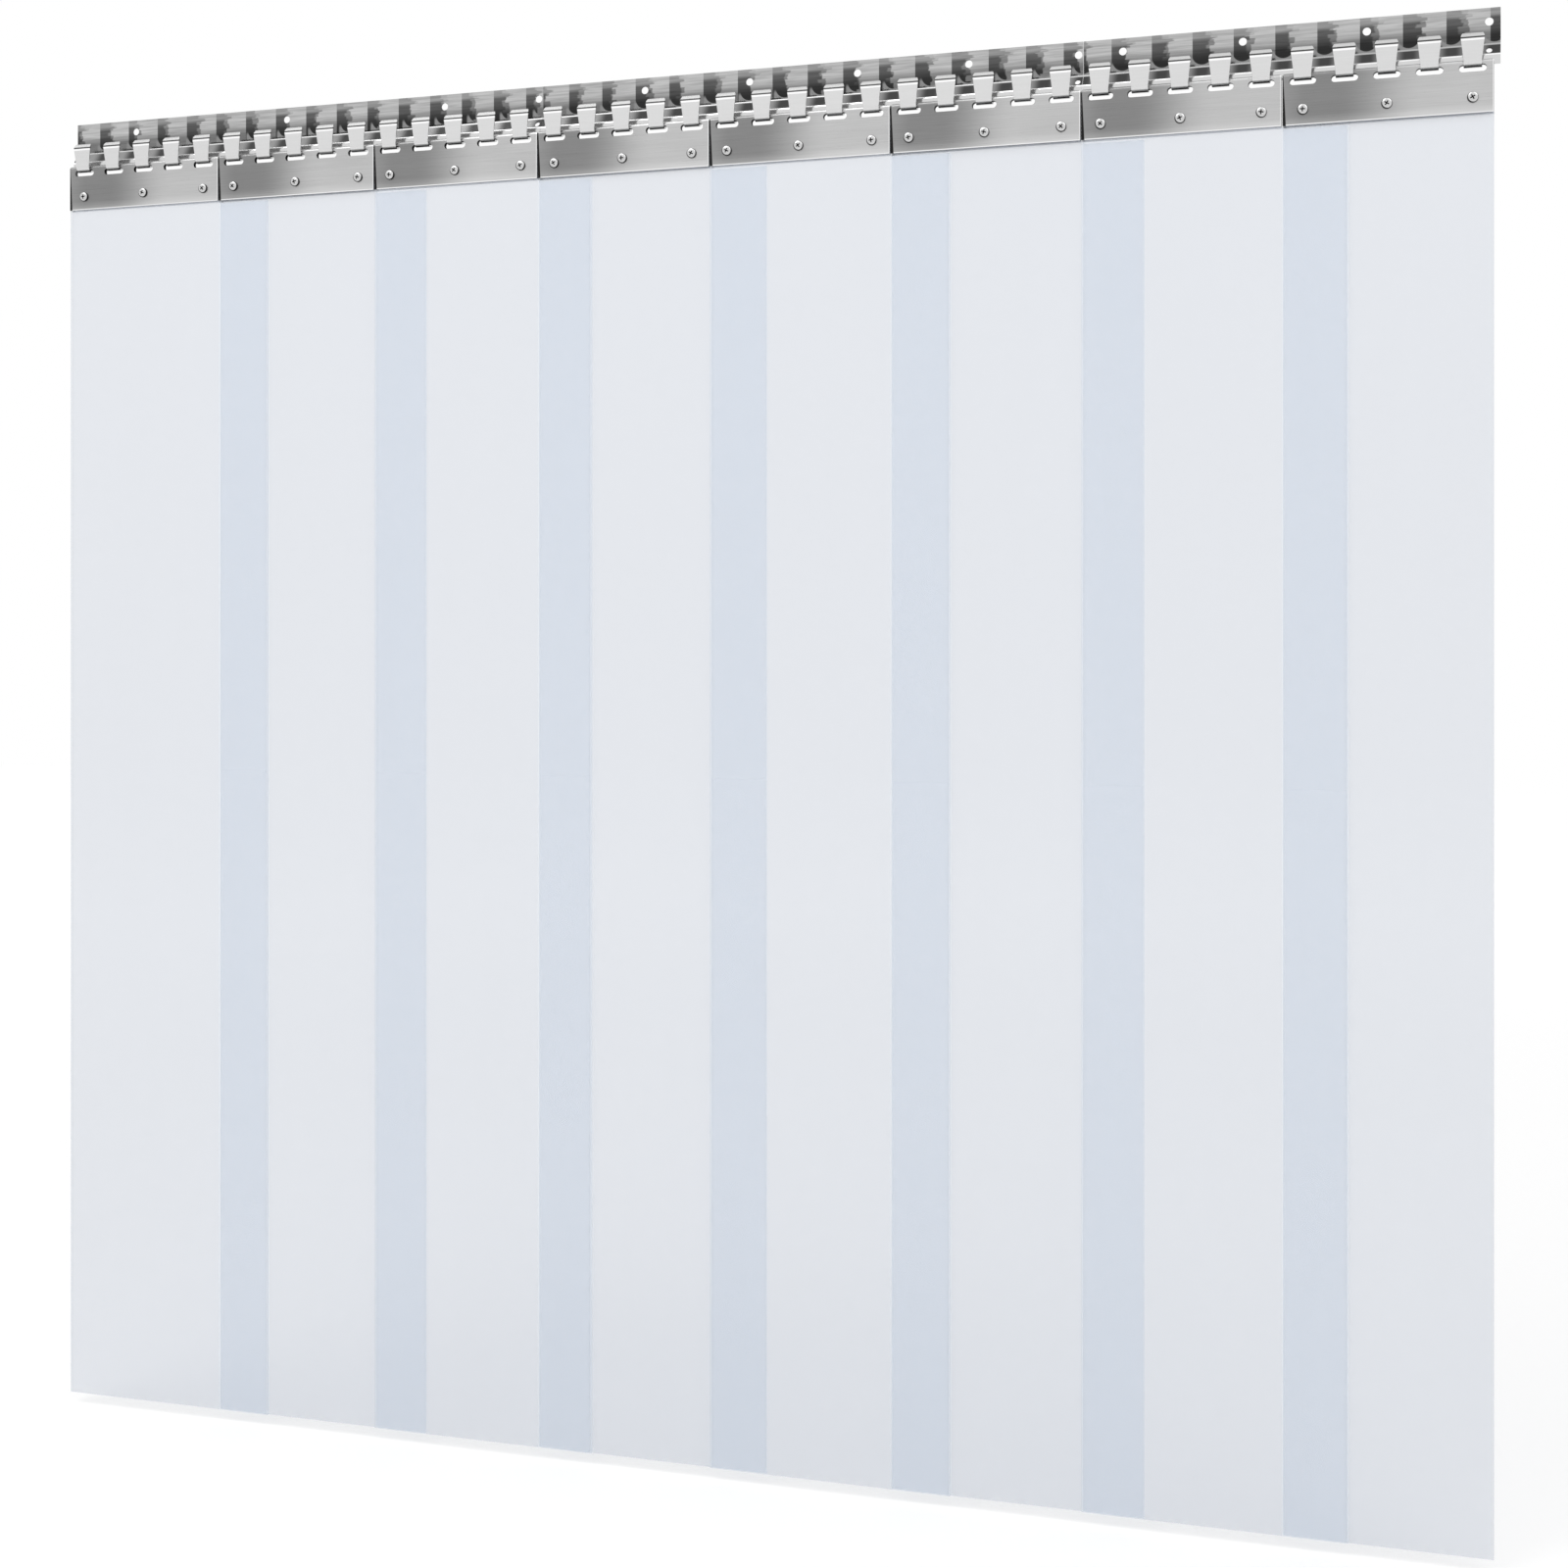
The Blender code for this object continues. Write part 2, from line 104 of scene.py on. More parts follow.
class Blank:
    """Flat sheet as quads over (x, s): x runs across the part and s along the sheet."""

    def __init__(self, x, s):
        self.x = np.unique(np.round(np.hstack(x), 7))
        self.s = np.unique(np.round(np.hstack(s), 7))
        self.keep = np.ones((len(self.s) - 1, len(self.x) - 1), dtype=bool)
        self.flat = np.stack(np.meshgrid(self.x, self.s), axis=-1).reshape(-1, 2)
        self.rings = []

    def lines(self, x_span, s_span):
        """Numbers of the grid lines nearest to the sides of a rectangle."""
        across = [int(np.abs(self.x - value).argmin()) for value in x_span]
        along = [int(np.abs(self.s - value).argmin()) for value in s_span]
        return across, along

    def cut(self, x_span, s_span):
        """Leave out the cells of a rectangle."""
        (x_first, x_last), (s_first, s_last) = self.lines(x_span, s_span)
        self.keep[s_first:s_last, x_first:x_last] = False

    def border(self, x_span, s_span):
        """Numbers of the grid points round a rectangle, counter-clockwise from its low corner."""
        (x_first, x_last), (s_first, s_last) = self.lines(x_span, s_span)
        row = len(self.x)
        return np.concatenate([
            s_first * row + np.arange(x_first, x_last),
            np.arange(s_first, s_last) * row + x_last,
            s_last * row + np.arange(x_last, x_first, -1),
            np.arange(s_last, s_first, -1) * row + x_first,
        ])

    def hole(self, x_span, s_span, centre, outline, rings=2):
        """Let a hole into a rectangle of cells.

        outline(angle) is the hole's radius in each direction from its centre. Ring k of n is
        k / n of the way from the rectangle's border to the hole, point by point.
        """
        self.cut(x_span, s_span)
        edge = self.border(x_span, s_span)
        outer = self.flat[edge]
        ray = outer - centre
        angle = np.arctan2(ray[:, 1], ray[:, 0])
        inner = centre + outline(angle)[:, None] * np.stack([np.cos(angle), np.sin(angle)], 1)
        share = np.arange(1, rings + 1)[:, None, None] / rings
        added = outer + (inner - outer) * share
        numbers = len(self.flat) + np.arange(rings * len(edge)).reshape(rings, -1)
        loops = np.vstack([edge, numbers])
        ahead = np.roll(loops, -1, axis=1)
        quads = np.stack([loops[:-1], ahead[:-1], ahead[1:], loops[1:]], axis=-1)
        self.rings.append(quads.reshape(-1, 4))
        self.flat = np.vstack([self.flat, added.reshape(-1, 2)])

    def quads(self):
        """All quads, counter-clockwise in the (x, s) plane."""
        row = len(self.x)
        numbers = np.arange(len(self.s) - 1)[:, None] * row + np.arange(row - 1)
        low = numbers[self.keep]
        grid = np.stack([low, low + 1, low + row + 1, low + row], axis=-1)
        return np.vstack([grid] + self.rings)


def circle(radius):
    """Outline of a round hole: the same radius in every direction."""
    return lambda angle: np.full_like(angle, radius)


def obround(width, height):
    """Outline of a slot with round ends.

    A ray meets a straight side at (height / 2) / |sin|, and an end's circle, whose centre is
    (width - height) / 2 out, at c |cos| + sqrt(r^2 - (c sin)^2). The straight side counts
    where it is met between the two centres.
    """
    radius = height / 2
    reach = (width - height) / 2

    def outline(angle):
        sine = np.maximum(np.abs(np.sin(angle)), 1e-9)
        cosine = np.abs(np.cos(angle))
        side = radius / sine
        inside = np.clip(radius ** 2 - (reach * sine) ** 2, 0, None)
        end = reach * cosine + np.sqrt(inside)
        return np.where(side * cosine <= reach, side, end)

    return outline


def corner_arc(before, corner, after, radius, steps):
    """Points of the arc that rounds a corner of a bent line in the YZ plane.

    The arc touches each side at radius / tan(half the corner's angle) from the corner, and its
    points turn evenly about the centre from one touching point to the other.
    """
    before, corner, after = (np.asarray(point, float) for point in (before, corner, after))
    back = (before - corner) / np.linalg.norm(before - corner)
    ahead = (after - corner) / np.linalg.norm(after - corner)
    half = math.acos(back @ ahead) / 2
    centre = corner + (back + ahead) / np.linalg.norm(back + ahead) * radius / math.sin(half)
    first = corner + back * radius / math.tan(half) - centre
    last = corner + ahead * radius / math.tan(half) - centre
    turn = math.atan2(first[0] * last[1] - first[1] * last[0], first @ last)
    angle = math.atan2(first[1], first[0]) + turn * np.linspace(0, 1, steps + 1)
    return centre + radius * np.stack([np.cos(angle), np.sin(angle)], axis=1)


# %% [markdown]
# ## From arrays to a finished piece
# One helper joins points that coincide and drops unused ones, and one turns the arrays into an
# object. Its modifiers are applied at once, so the mesh that is shown is the mesh that is kept.
# Corners sharper than a limit stay crisp, and round parts are shaded smooth.

# %% Finished pieces
SHARP = math.radians(32)
BEVEL_FROM = math.radians(60)


def weld(points, quads):
    """Give coinciding points one number and drop the points that no quad uses."""
    _, first, number = np.unique(
        np.round(points, 7), axis=0, return_index=True, return_inverse=True)
    quads = number.reshape(-1)[quads]
    used, quads = np.unique(quads, return_inverse=True)
    return points[first][used], quads.reshape(-1, 4)


def add_mesh(name, points, faces, flat=None):
    """Object at the origin with the given points and faces, and flat places as its UV map."""
    mesh = bpy.data.meshes.new(name)
    mesh.from_pydata(points.tolist(), [], faces)
    if flat is not None:
        corners = np.empty(len(mesh.loops), dtype=np.int32)
        mesh.loops.foreach_get("vertex_index", corners)
        layer = mesh.uv_layers.new(name="flat")
        layer.data.foreach_set("uv", flat[corners].astype(np.float32).ravel())
    piece = bpy.data.objects.new(name, mesh)
    bpy.context.scene.collection.objects.link(piece)
    return piece


def finish_sheet(piece, thickness, edge):
    """Give a bent mid-surface its thickness and broken edges, and apply both."""
    solid = piece.modifiers.new("thickness", "SOLIDIFY")
    solid.thickness = thickness
    solid.offset = 0
    solid.use_even_offset = True
    bevel = piece.modifiers.new("edge", "BEVEL")
    bevel.width = edge
    bevel.segments = 1
    bevel.limit_method = "ANGLE"
    bevel.angle_limit = BEVEL_FROM
    bpy.context.view_layer.update()
    solved = piece.evaluated_get(bpy.context.evaluated_depsgraph_get())
    mesh = bpy.data.meshes.new_from_object(solved)
    piece.modifiers.clear()
    piece.data = mesh
    mesh.shade_smooth()
    mesh.set_sharp_from_angle(angle=SHARP)


def dress(piece, body, nodes):
    """Let a piece ride on its body in place of its nodes."""
    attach(piece, body)
    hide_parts(*nodes)
    print("%s: %d faces on %s" % (piece.name, len(piece.data.polygons), body))


# %% [markdown]
# ## Comb rail
# Each rail length is one stainless blank. The back plate stands against the wall, a slope
# carries it forward, and a short lip hangs down. From the lip's lower edge one hook after
# another turns round a seat, rises as a tab that widens upwards, and ends in a tip that is
# turned back. Above the lip every height belongs to one depth, so those rows are placed by
# their height alone. The hooks are strips carried along a path, and share the lip's columns.

# %% Rail sizes
HOOK_PITCH = 0.0456
HOOKS_PER_CLAMP = 5
LEFT_END = -0.912
RAIL_SHEET = 0.0015
RAIL_TOP = 0.0152
BACK_Y = -RAIL_SHEET / 2
BACK_HEIGHT = 0.0400
BACK_BOTTOM = RAIL_TOP - BACK_HEIGHT
SLOPE_ANGLE = math.radians(33)
RAIL_BEND = 0.0030
RAIL_OVERHANG = 0.0060
SEAT_RADIUS = 0.00645
LIP_Y = AXIS_Y + SEAT_RADIUS
SLOPE_BOTTOM = BACK_BOTTOM - (BACK_Y - LIP_Y) / math.tan(SLOPE_ANGLE)
LIP_BELOW_AXIS = 0.0030
LIP_BOTTOM = AXIS_Z - LIP_BELOW_AXIS
HOOK_ROOT = 0.0193 / 2
RELIEF_CUT = 0.0012
HOOK_RELIEF = HOOK_ROOT + RELIEF_CUT
HOOK_TOP = 0.0252 / 2
HOOK_HEIGHT = 0.0248
HOOK_LEAN = 0.0015
HOOK_TIP = 0.0060
HOOK_TIP_INSET = 0.0016
HOOK_TIP_ANGLE = math.radians(36)
HOOK_FOLD = 0.0018
HOLE_RADIUS = 0.0045
SLOPE_HOLE_RADIUS = 0.0032
SLOPE_HOLE_Z = RAIL_TOP - 0.0482
END_HOLE_INSET = 0.0060
JOINT_GAP = 0.0005
METAL_EDGE = 0.00015

# Name, hooks before it, its hooks, its gaps between hooks that have a fixing hole
RAILS = (
    ("rail_left", 0, 15, (2, 7, 12)),
    ("rail_centre", 15, 15, (3, 6, 9, 12)),
    ("rail_right", 30, 10, (1, 4, 7)),
)
print("the lip starts %.1f mm under the rail's top" % (1000 * (RAIL_TOP - SLOPE_BOTTOM)))

# %% [markdown]
# A bent sheet has a radius at each bend. Here it is laid along the sheet's mid-line, and the
# thickness goes evenly to both sides of it later. Each hook could be a piece of its own that
# is set against the lip. Its path ends in the lip's own row of points instead, so rail and
# hooks are one skin without a seam, as they are one blank in steel.

# %% Rail mid-line and hook path
BEND_STEPS = 10
SEAT_STEPS = 24
TAB_STEPS = 8
FOLD_STEPS = 8
TIP_SHOULDER = 0.3


def rail_line():
    """Mid-line of the rail above its hooks, as heights that rise and their depths."""
    top, inner = (BACK_Y, RAIL_TOP), (BACK_Y, BACK_BOTTOM)
    outer, end = (LIP_Y, SLOPE_BOTTOM), (LIP_Y, LIP_BOTTOM)
    upper = corner_arc(top, inner, outer, RAIL_BEND, BEND_STEPS)
    lower = corner_arc(inner, outer, end, RAIL_BEND, BEND_STEPS)
    line = np.vstack([[top], upper, lower, [end]])[::-1]
    return line[:, 1], line[:, 0]


def hook_path():
    """Places (y, z) and half widths along a hook, from its tip down to the rail's lip.

    The seat is a half circle about the clamps' axis. The tab is a straight line whose half
    width grows evenly from the seat to the fold, and the tip narrows again to its end.
    """
    angle = np.linspace(0, -math.pi, SEAT_STEPS + 1)
    seat = np.stack([AXIS_Y + SEAT_RADIUS * np.cos(angle),
                     AXIS_Z + SEAT_RADIUS * np.sin(angle)], axis=1)
    foot = seat[-1]
    corner = np.array([foot[0] - HOOK_LEAN, AXIS_Z + HOOK_HEIGHT])
    lean = np.array([math.sin(HOOK_TIP_ANGLE), math.cos(HOOK_TIP_ANGLE)])
    tip = corner + HOOK_TIP * lean
    fold = corner_arc(foot, corner, tip, HOOK_FOLD, FOLD_STEPS)
    tab = foot + (fold[0] - foot) * np.linspace(0, 1, TAB_STEPS + 1)[1:-1, None]
    path = np.vstack([seat, tab, fold, [(fold[-1] + tip) / 2], [tip]])
    height = np.clip((path[:, 1] - foot[1]) / (fold[0][1] - foot[1]), 0, 1)
    half = HOOK_ROOT + (HOOK_TOP - HOOK_ROOT) * height
    half[:len(seat)] = HOOK_ROOT
    half[-FOLD_STEPS - 2:-1] = HOOK_TOP
    half[-2] = HOOK_TOP - HOOK_TIP_INSET * TIP_SHOULDER
    half[-1] = HOOK_TOP - HOOK_TIP_INSET
    return path[::-1], half[::-1]


HEIGHTS, DEPTHS = rail_line()
HOOK_PATH, HOOK_HALF = hook_path()
ROOT_SHARES = np.linspace(-1, 1, 7)
print("hook path has %d stations" % len(HOOK_PATH))

# %% [markdown]
# The three lengths differ only in their count of hooks and in the gaps that have a fixing
# hole, so one function makes them all. Each has one more fixing hole and a small hole in the
# slope at its right end.

# %% Rail lengths
GAP_BLOCK = 0.0065
END_BLOCK = 0.0055
SLOPE_BLOCK = 0.0042
BLOCK_LINES = 13
PLAIN_ROWS = (0.0110, -0.0110, -0.0160)
BEND_ROWS = np.linspace(-0.0009, 0.0009, 9)


def block_lines(half):
    """Even grid lines over a hole's block, about its middle."""
    return np.linspace(-half, half, BLOCK_LINES)


def rail_points(name, before, hooks, hole_gaps):
    """Points and quads of one rail length's mid-surface."""
    left = LEFT_END + HOOK_PITCH * before
    last = left + HOOK_PITCH * hooks
    right = -LEFT_END + RAIL_OVERHANG if name == "rail_right" else last - JOINT_GAP
    middles = left + HOOK_PITCH * (np.arange(hooks) + 0.5)
    roots = middles[:, None] + HOOK_ROOT * ROOT_SHARES
    end_x = last - END_HOLE_INSET
    holes = left + HOOK_PITCH * np.array(hole_gaps)
    block = block_lines(GAP_BLOCK)
    gaps = left + HOOK_PITCH * np.arange(1, hooks)
    x = [
        [left, right], gaps, roots.ravel(), middles - HOOK_RELIEF, middles + HOOK_RELIEF,
        (holes[:, None] + block).ravel(), end_x + block_lines(END_BLOCK),
    ]
    slope = SLOPE_HOLE_Z + block_lines(SLOPE_BLOCK)
    s = [[RAIL_TOP, *PLAIN_ROWS], block, BACK_BOTTOM + BEND_ROWS, slope,
         SLOPE_BOTTOM + BEND_ROWS, [AXIS_Z, LIP_BOTTOM]]
    blank = Blank(x, s)
    for middle in middles:
        blank.cut((middle - HOOK_RELIEF, middle + HOOK_RELIEF), (LIP_BOTTOM, AXIS_Z))
    for centre in holes:
        blank.hole((centre - GAP_BLOCK, centre + GAP_BLOCK), (-GAP_BLOCK, GAP_BLOCK),
                   (centre, 0.0), circle(HOLE_RADIUS))
    end_span = (end_x - END_BLOCK, end_x + END_BLOCK)
    blank.hole(end_span, (-GAP_BLOCK, GAP_BLOCK), (end_x, 0.0), circle(HOLE_RADIUS))
    slope_span = (SLOPE_HOLE_Z - SLOPE_BLOCK, SLOPE_HOLE_Z + SLOPE_BLOCK)
    blank.hole(end_span, slope_span, (end_x, SLOPE_HOLE_Z), circle(SLOPE_HOLE_RADIUS), 5)
    depth = np.interp(blank.flat[:, 1], HEIGHTS, DEPTHS)
    plate = np.stack([blank.flat[:, 0], depth, blank.flat[:, 1]], axis=1)

    shape = (hooks, len(HOOK_PATH), len(ROOT_SHARES))
    across = middles[:, None, None] + HOOK_HALF[:, None] * ROOT_SHARES
    across[:, -1] = np.round(roots, 7)
    comb = np.stack([
        across,
        np.broadcast_to(HOOK_PATH[:, 0][None, :, None], shape),
        np.broadcast_to(HOOK_PATH[:, 1][None, :, None], shape),
    ], axis=-1)
    numbers = np.arange(comb[..., 0].size).reshape(shape)
    strips = np.stack([numbers[:, :-1, :-1], numbers[:, :-1, 1:],
                       numbers[:, 1:, 1:], numbers[:, 1:, :-1]], axis=-1).reshape(-1, 4)
    points = np.vstack([plate, comb.reshape(-1, 3)])
    return weld(points, np.vstack([blank.quads(), strips + len(plate)]))


rails = []
for rail in RAILS:
    rail_mesh, rail_quads = rail_points(*rail)
    comb_rail = add_mesh("comb_" + rail[0], rail_mesh, rail_quads.tolist())
    finish_sheet(comb_rail, RAIL_SHEET, METAL_EDGE)
    dress(comb_rail, "rail", [rail[0]])
    rails.append(comb_rail)

# %% [markdown]
# ## Clamp plates
# A clamp is a plate folded over into two legs with a round ridge. Five slots go through both
# legs for the hooks, and three holes for the screws. Along the sheet the place is the front
# leg's height, then the way round the ridge, and then the way down the rear leg. The ridge
# narrows towards its top, which rounds the plate's upper corners.

# %% Clamp sizes
CLAMP_COUNT = 8
CLAMP_PITCH = HOOK_PITCH * HOOKS_PER_CLAMP
CLAMP_GAP = 0.0012
CLAMP_WIDTH = CLAMP_PITCH - CLAMP_GAP
CLAMP_SHEET = 0.0010
LEG_MID = 0.00295
LEG_OUTER = LEG_MID + CLAMP_SHEET / 2
RIDGE_TOP = 0.0016
FOLD_Z = RIDGE_TOP - LEG_OUTER
FRONT_BOTTOM = -0.0570
REAR_BOTTOM = -0.0585
SLOT_WIDTH = 0.0294
SLOT_HEIGHT = 0.0081
SLOT_TOP = -0.003864
SLOT_MID = SLOT_TOP - SLOT_HEIGHT / 2
SCREW_Z = -0.0399
SCREW_HOLE_RADIUS = 0.0034
SCREW_HOOKS = (0, 2, 4)
HOOK_PLACES = HOOK_PITCH * (np.arange(HOOKS_PER_CLAMP) + 0.5) - CLAMP_PITCH / 2
SCREW_PLACES = HOOK_PLACES[list(SCREW_HOOKS)]
print("clamp plate %.1f mm wide, hooks every %.1f mm" % (1000 * CLAMP_WIDTH, 1000 * HOOK_PITCH))

# %% [markdown]
# Slots and holes could be cut through the folded plate with booleans. In the flat blank each
# one is a ring of quads round its outline, which leaves a clean mesh, and the fold brings the
# rear leg's holes behind those of the front leg.

# %% Clamp plate
SLOT_BLOCK_X = 0.0156
SLOT_BLOCK_S = 0.0050
SLOT_ROWS = np.linspace(-SLOT_BLOCK_S, SLOT_BLOCK_S, 17)
SLOT_COLUMNS = np.array([0.0080, 0.0112, 0.0132, 0.0144, SLOT_BLOCK_X])
SCREW_BLOCK = 0.0045
SCREW_LINES = np.linspace(-SCREW_BLOCK, SCREW_BLOCK, 11)
RIDGE_STEPS = 16
CORNER_COLUMN = 0.0035


def clamp_points():
    """Points and quads of the folded plate's mid-surface, about the hooks' axis."""
    ridge = FOLD_Z - FRONT_BOTTOM
    rear = ridge + math.pi * LEG_MID
    end = rear + FOLD_Z - REAR_BOTTOM
    slots = (SLOT_MID - FRONT_BOTTOM, rear + FOLD_Z - SLOT_MID)
    screws = (SCREW_Z - FRONT_BOTTOM, rear + FOLD_Z - SCREW_Z)
    half = CLAMP_WIDTH / 2
    slot_x = np.hstack([-SLOT_COLUMNS[::-1], SLOT_COLUMNS])
    x = [[-half, CORNER_COLUMN - half, half - CORNER_COLUMN, half],
         (HOOK_PLACES[:, None] + slot_x).ravel(), (SCREW_PLACES[:, None] + SCREW_LINES).ravel()]
    s = [[0, end], np.linspace(ridge, rear, RIDGE_STEPS + 1)]
    s += [place + SLOT_ROWS for place in slots]
    s += [place + SCREW_LINES for place in screws]
    blank = Blank(x, s)
    for place in slots:
        for centre in HOOK_PLACES:
            blank.hole((centre - SLOT_BLOCK_X, centre + SLOT_BLOCK_X),
                       (place - SLOT_BLOCK_S, place + SLOT_BLOCK_S),
                       (centre, place), obround(SLOT_WIDTH, SLOT_HEIGHT), 1)
    for place in screws:
        for centre in SCREW_PLACES:
            blank.hole((centre - SCREW_BLOCK, centre + SCREW_BLOCK),
                       (place - SCREW_BLOCK, place + SCREW_BLOCK),
                       (centre, place), circle(SCREW_HOLE_RADIUS), 1)
    across, along = blank.flat.T
    turn = math.pi * np.clip((along - ridge) / (rear - ridge), 0, 1)
    depth = -LEG_MID * np.cos(turn)
    height = FOLD_Z + LEG_MID * np.sin(turn)
    height = np.where(along < ridge, FRONT_BOTTOM + along, height)
    height = np.where(along > rear, FOLD_Z - (along - rear), height)
    reach = half - (LEG_MID - np.abs(depth))
    points = np.stack([np.clip(across, -reach, reach), depth, height], axis=1)
    return weld(points, blank.quads())


CLAMP_MESH, CLAMP_QUADS = clamp_points()
clamps = []
for number in range(1, CLAMP_COUNT + 1):
    place = np.array(SWING["curtain_%d" % number])
    clamp = add_mesh("folded_clamp_%d" % number, CLAMP_MESH + place, CLAMP_QUADS.tolist())
    finish_sheet(clamp, CLAMP_SHEET, METAL_EDGE)
    dress(clamp, "curtain_%d" % number, ["clamp_%d" % number])
    clamps.append(clamp)

# %% [markdown]
# ## Clear sheets
# Each sheet is 300 mm wide and 2 mm thick, cut from a roll and left flat. Its upper right
# corner is notched, so that the part that laps the neighbour starts just below the
# neighbour's clamp. The last sheet is trimmed to its clamp's width. A thin box would do for a
# plain sheet, but this one has screw holes and a round corner in its notch, so it is a flat
# blank that is left unbent. The UV map holds the flat place in metres from the sheet's left
# upper corner, so that the finish can follow the edges.

# %% Sheets
SHEET_WIDTH = 0.300
SHEET_THICKNESS = 0.0020
SHEET_GAP = 0.0003
SHEET_MID = SHEET_GAP / 2 + SHEET_THICKNESS / 2
SHEET_BELOW_SLOT = 0.0030
SHEET_TOP = SLOT_TOP - SLOT_HEIGHT - SHEET_BELOW_SLOT
AXIS_BELOW_TOP = 0.0612
CURTAIN_DROP = 1.700
SHEET_BOTTOM = AXIS_BELOW_TOP - CURTAIN_DROP
NOTCH_GAP = 0.0020
NOTCH_Z = -math.hypot(REAR_BOTTOM, LEG_OUTER) - NOTCH_GAP
NOTCH_FILLET = 0.0060
FILLET_STEPS = 6
SHEET_EDGE = 0.00035


def sheet_faces(trimmed):
    """Flat points (x, z) and faces of one sheet's mid-surface.

    The notch's fillet fills the corner between two grid lines and a quarter circle: points
    along the corner's two sides are joined to points at even turns on the circle.
    """
    left, shoulder = -CLAMP_WIDTH / 2, CLAMP_WIDTH / 2
    right = shoulder if trimmed else left + SHEET_WIDTH
    fillet = np.linspace(0, NOTCH_FILLET, FILLET_STEPS + 1)
    x = [[left, shoulder, right], (SCREW_PLACES[:, None] + SCREW_LINES).ravel()]
    s = [[SHEET_TOP, SHEET_BOTTOM, NOTCH_Z], SCREW_Z + SCREW_LINES, NOTCH_Z + fillet,
         np.linspace(SHEET_BOTTOM, NOTCH_Z, 9)]
    if not trimmed:
        x.append(shoulder + fillet)
    blank = Blank(x, s)
    for centre in SCREW_PLACES:
        blank.hole((centre - SCREW_BLOCK, centre + SCREW_BLOCK),
                   (SCREW_Z - SCREW_BLOCK, SCREW_Z + SCREW_BLOCK),
                   (centre, SCREW_Z), circle(SCREW_HOLE_RADIUS), 1)
    if trimmed:
        return blank.flat, blank.quads().tolist()
    blank.cut((shoulder, right), (NOTCH_Z, SHEET_TOP))
    box = blank.border((shoulder, shoulder + NOTCH_FILLET), (NOTCH_Z, NOTCH_Z + NOTCH_FILLET))
    corner = np.concatenate([box[:FILLET_STEPS + 1][::-1], box[::-1][:FILLET_STEPS]])
    turn = np.linspace(0, math.pi / 2, len(corner))[1:-1]
    arc = np.stack([shoulder + NOTCH_FILLET * (1 - np.sin(turn)),
                    NOTCH_Z + NOTCH_FILLET * (1 - np.cos(turn))], axis=1)
    numbers = np.concatenate([corner[:1], len(blank.flat) + np.arange(len(arc)), corner[-1:]])
    faces = np.stack([corner[1:], corner[:-1], numbers[:-1], numbers[1:]], axis=1)
    patch = [[corner[1], corner[0], numbers[1]], [corner[-1], corner[-2], numbers[-2]]]
    patch += faces[1:-1].tolist()
    return np.vstack([blank.flat, arc]), blank.quads().tolist() + patch


def drop_loose(points, faces):
    """Leave out the points that no face uses, and renumber the faces."""
    lengths = [len(face) for face in faces]
    used, numbers = np.unique(np.concatenate(faces), return_inverse=True)
    return points[used], [face.tolist() for face in np.split(numbers, np.cumsum(lengths)[:-1])]


sheets = []
for number in range(1, CLAMP_COUNT + 1):
    place = np.array(SWING["curtain_%d" % number])
    flat, faces = drop_loose(*sheet_faces(number == CLAMP_COUNT))
    side = -1 if number % 2 else 1
    points = np.stack([flat[:, 0], np.full(len(flat), side * SHEET_MID), flat[:, 1]], axis=1)
    sheet_uv = flat - (-CLAMP_WIDTH / 2, SHEET_TOP)
    sheet = add_mesh("clear_sheet_%d" % number, points + place, faces, sheet_uv)
    finish_sheet(sheet, SHEET_THICKNESS, SHEET_EDGE)
    dress(sheet, "curtain_%d" % number, ["strip_%d" % number])
    sheets.append(sheet)

# %% [markdown]
# ## Screws and nuts
# Every screw is a pan head with a cross recess, a plain shank through both legs and the sheet,
# and a hexagon nut behind. All of it is one closed surface: rings of points about the Y axis,
# where each ring has a radius for every direction. The recess uses the outline of a cross,
# and the nut uses the outline of a hexagon, so no cutting is needed. Each screw is turned by
# an angle of its own, because nobody lines screws up.

# %% Screws
SEAT = LEG_OUTER + SHEET_GAP
HEAD_RADIUS = 0.0060
HEAD_HEIGHT = 0.0030
HEAD_RIM = 0.0012
SHANK_RADIUS = 0.0030
CROSS_REACH = 0.0030
CROSS_HALF = 0.00068
RECESS_DEPTH = 0.0018
NUT_HALF = 0.0050
NUT_HEIGHT = 0.0048
THREAD_RADIUS = 0.0026
RIM_BREAK = 0.0002
THREAD_BREAK = 0.0004
NUT_CHAMFER = 0.0005
CHAMFER_SHARE = 1.01
CORNER_SHARE = 1.14
END_SINK = 0.0001
CROWN_SHARES = (0.62, 0.74, 0.84, 0.92, 0.97, 1.0)

QUARTER = np.radians([-45, -37.5, -30, -21, -13, -6.5, 0, 6.5, 13, 21, 30, 37.5])
ANGLE = (np.arange(4)[:, None] * math.pi / 2 + QUARTER).ravel()


def cross():
    """Radius of a cross: the nearer of an arm's end and its side, from the arm's own angle."""
    own = np.abs((ANGLE + math.pi / 4) % (math.pi / 2) - math.pi / 4)
    return np.minimum(CROSS_REACH / np.cos(own), CROSS_HALF / np.sin(np.maximum(own, 1e-6)))


def hexagon(half):
    """Radius of a hexagon: half its width over the cosine of the angle from the flat."""
    own = ANGLE % (math.pi / 3) - math.pi / 6
    return half / np.cos(own)


def crown(radius):
    """Height of the pan head's surface: a flattened dome, rim + rise * sqrt(1 - (r / R)^4)."""
    share = np.clip(radius / HEAD_RADIUS, 0, 1)
    return HEAD_RIM + (HEAD_HEIGHT - HEAD_RIM) * np.sqrt(1 - share ** 4)


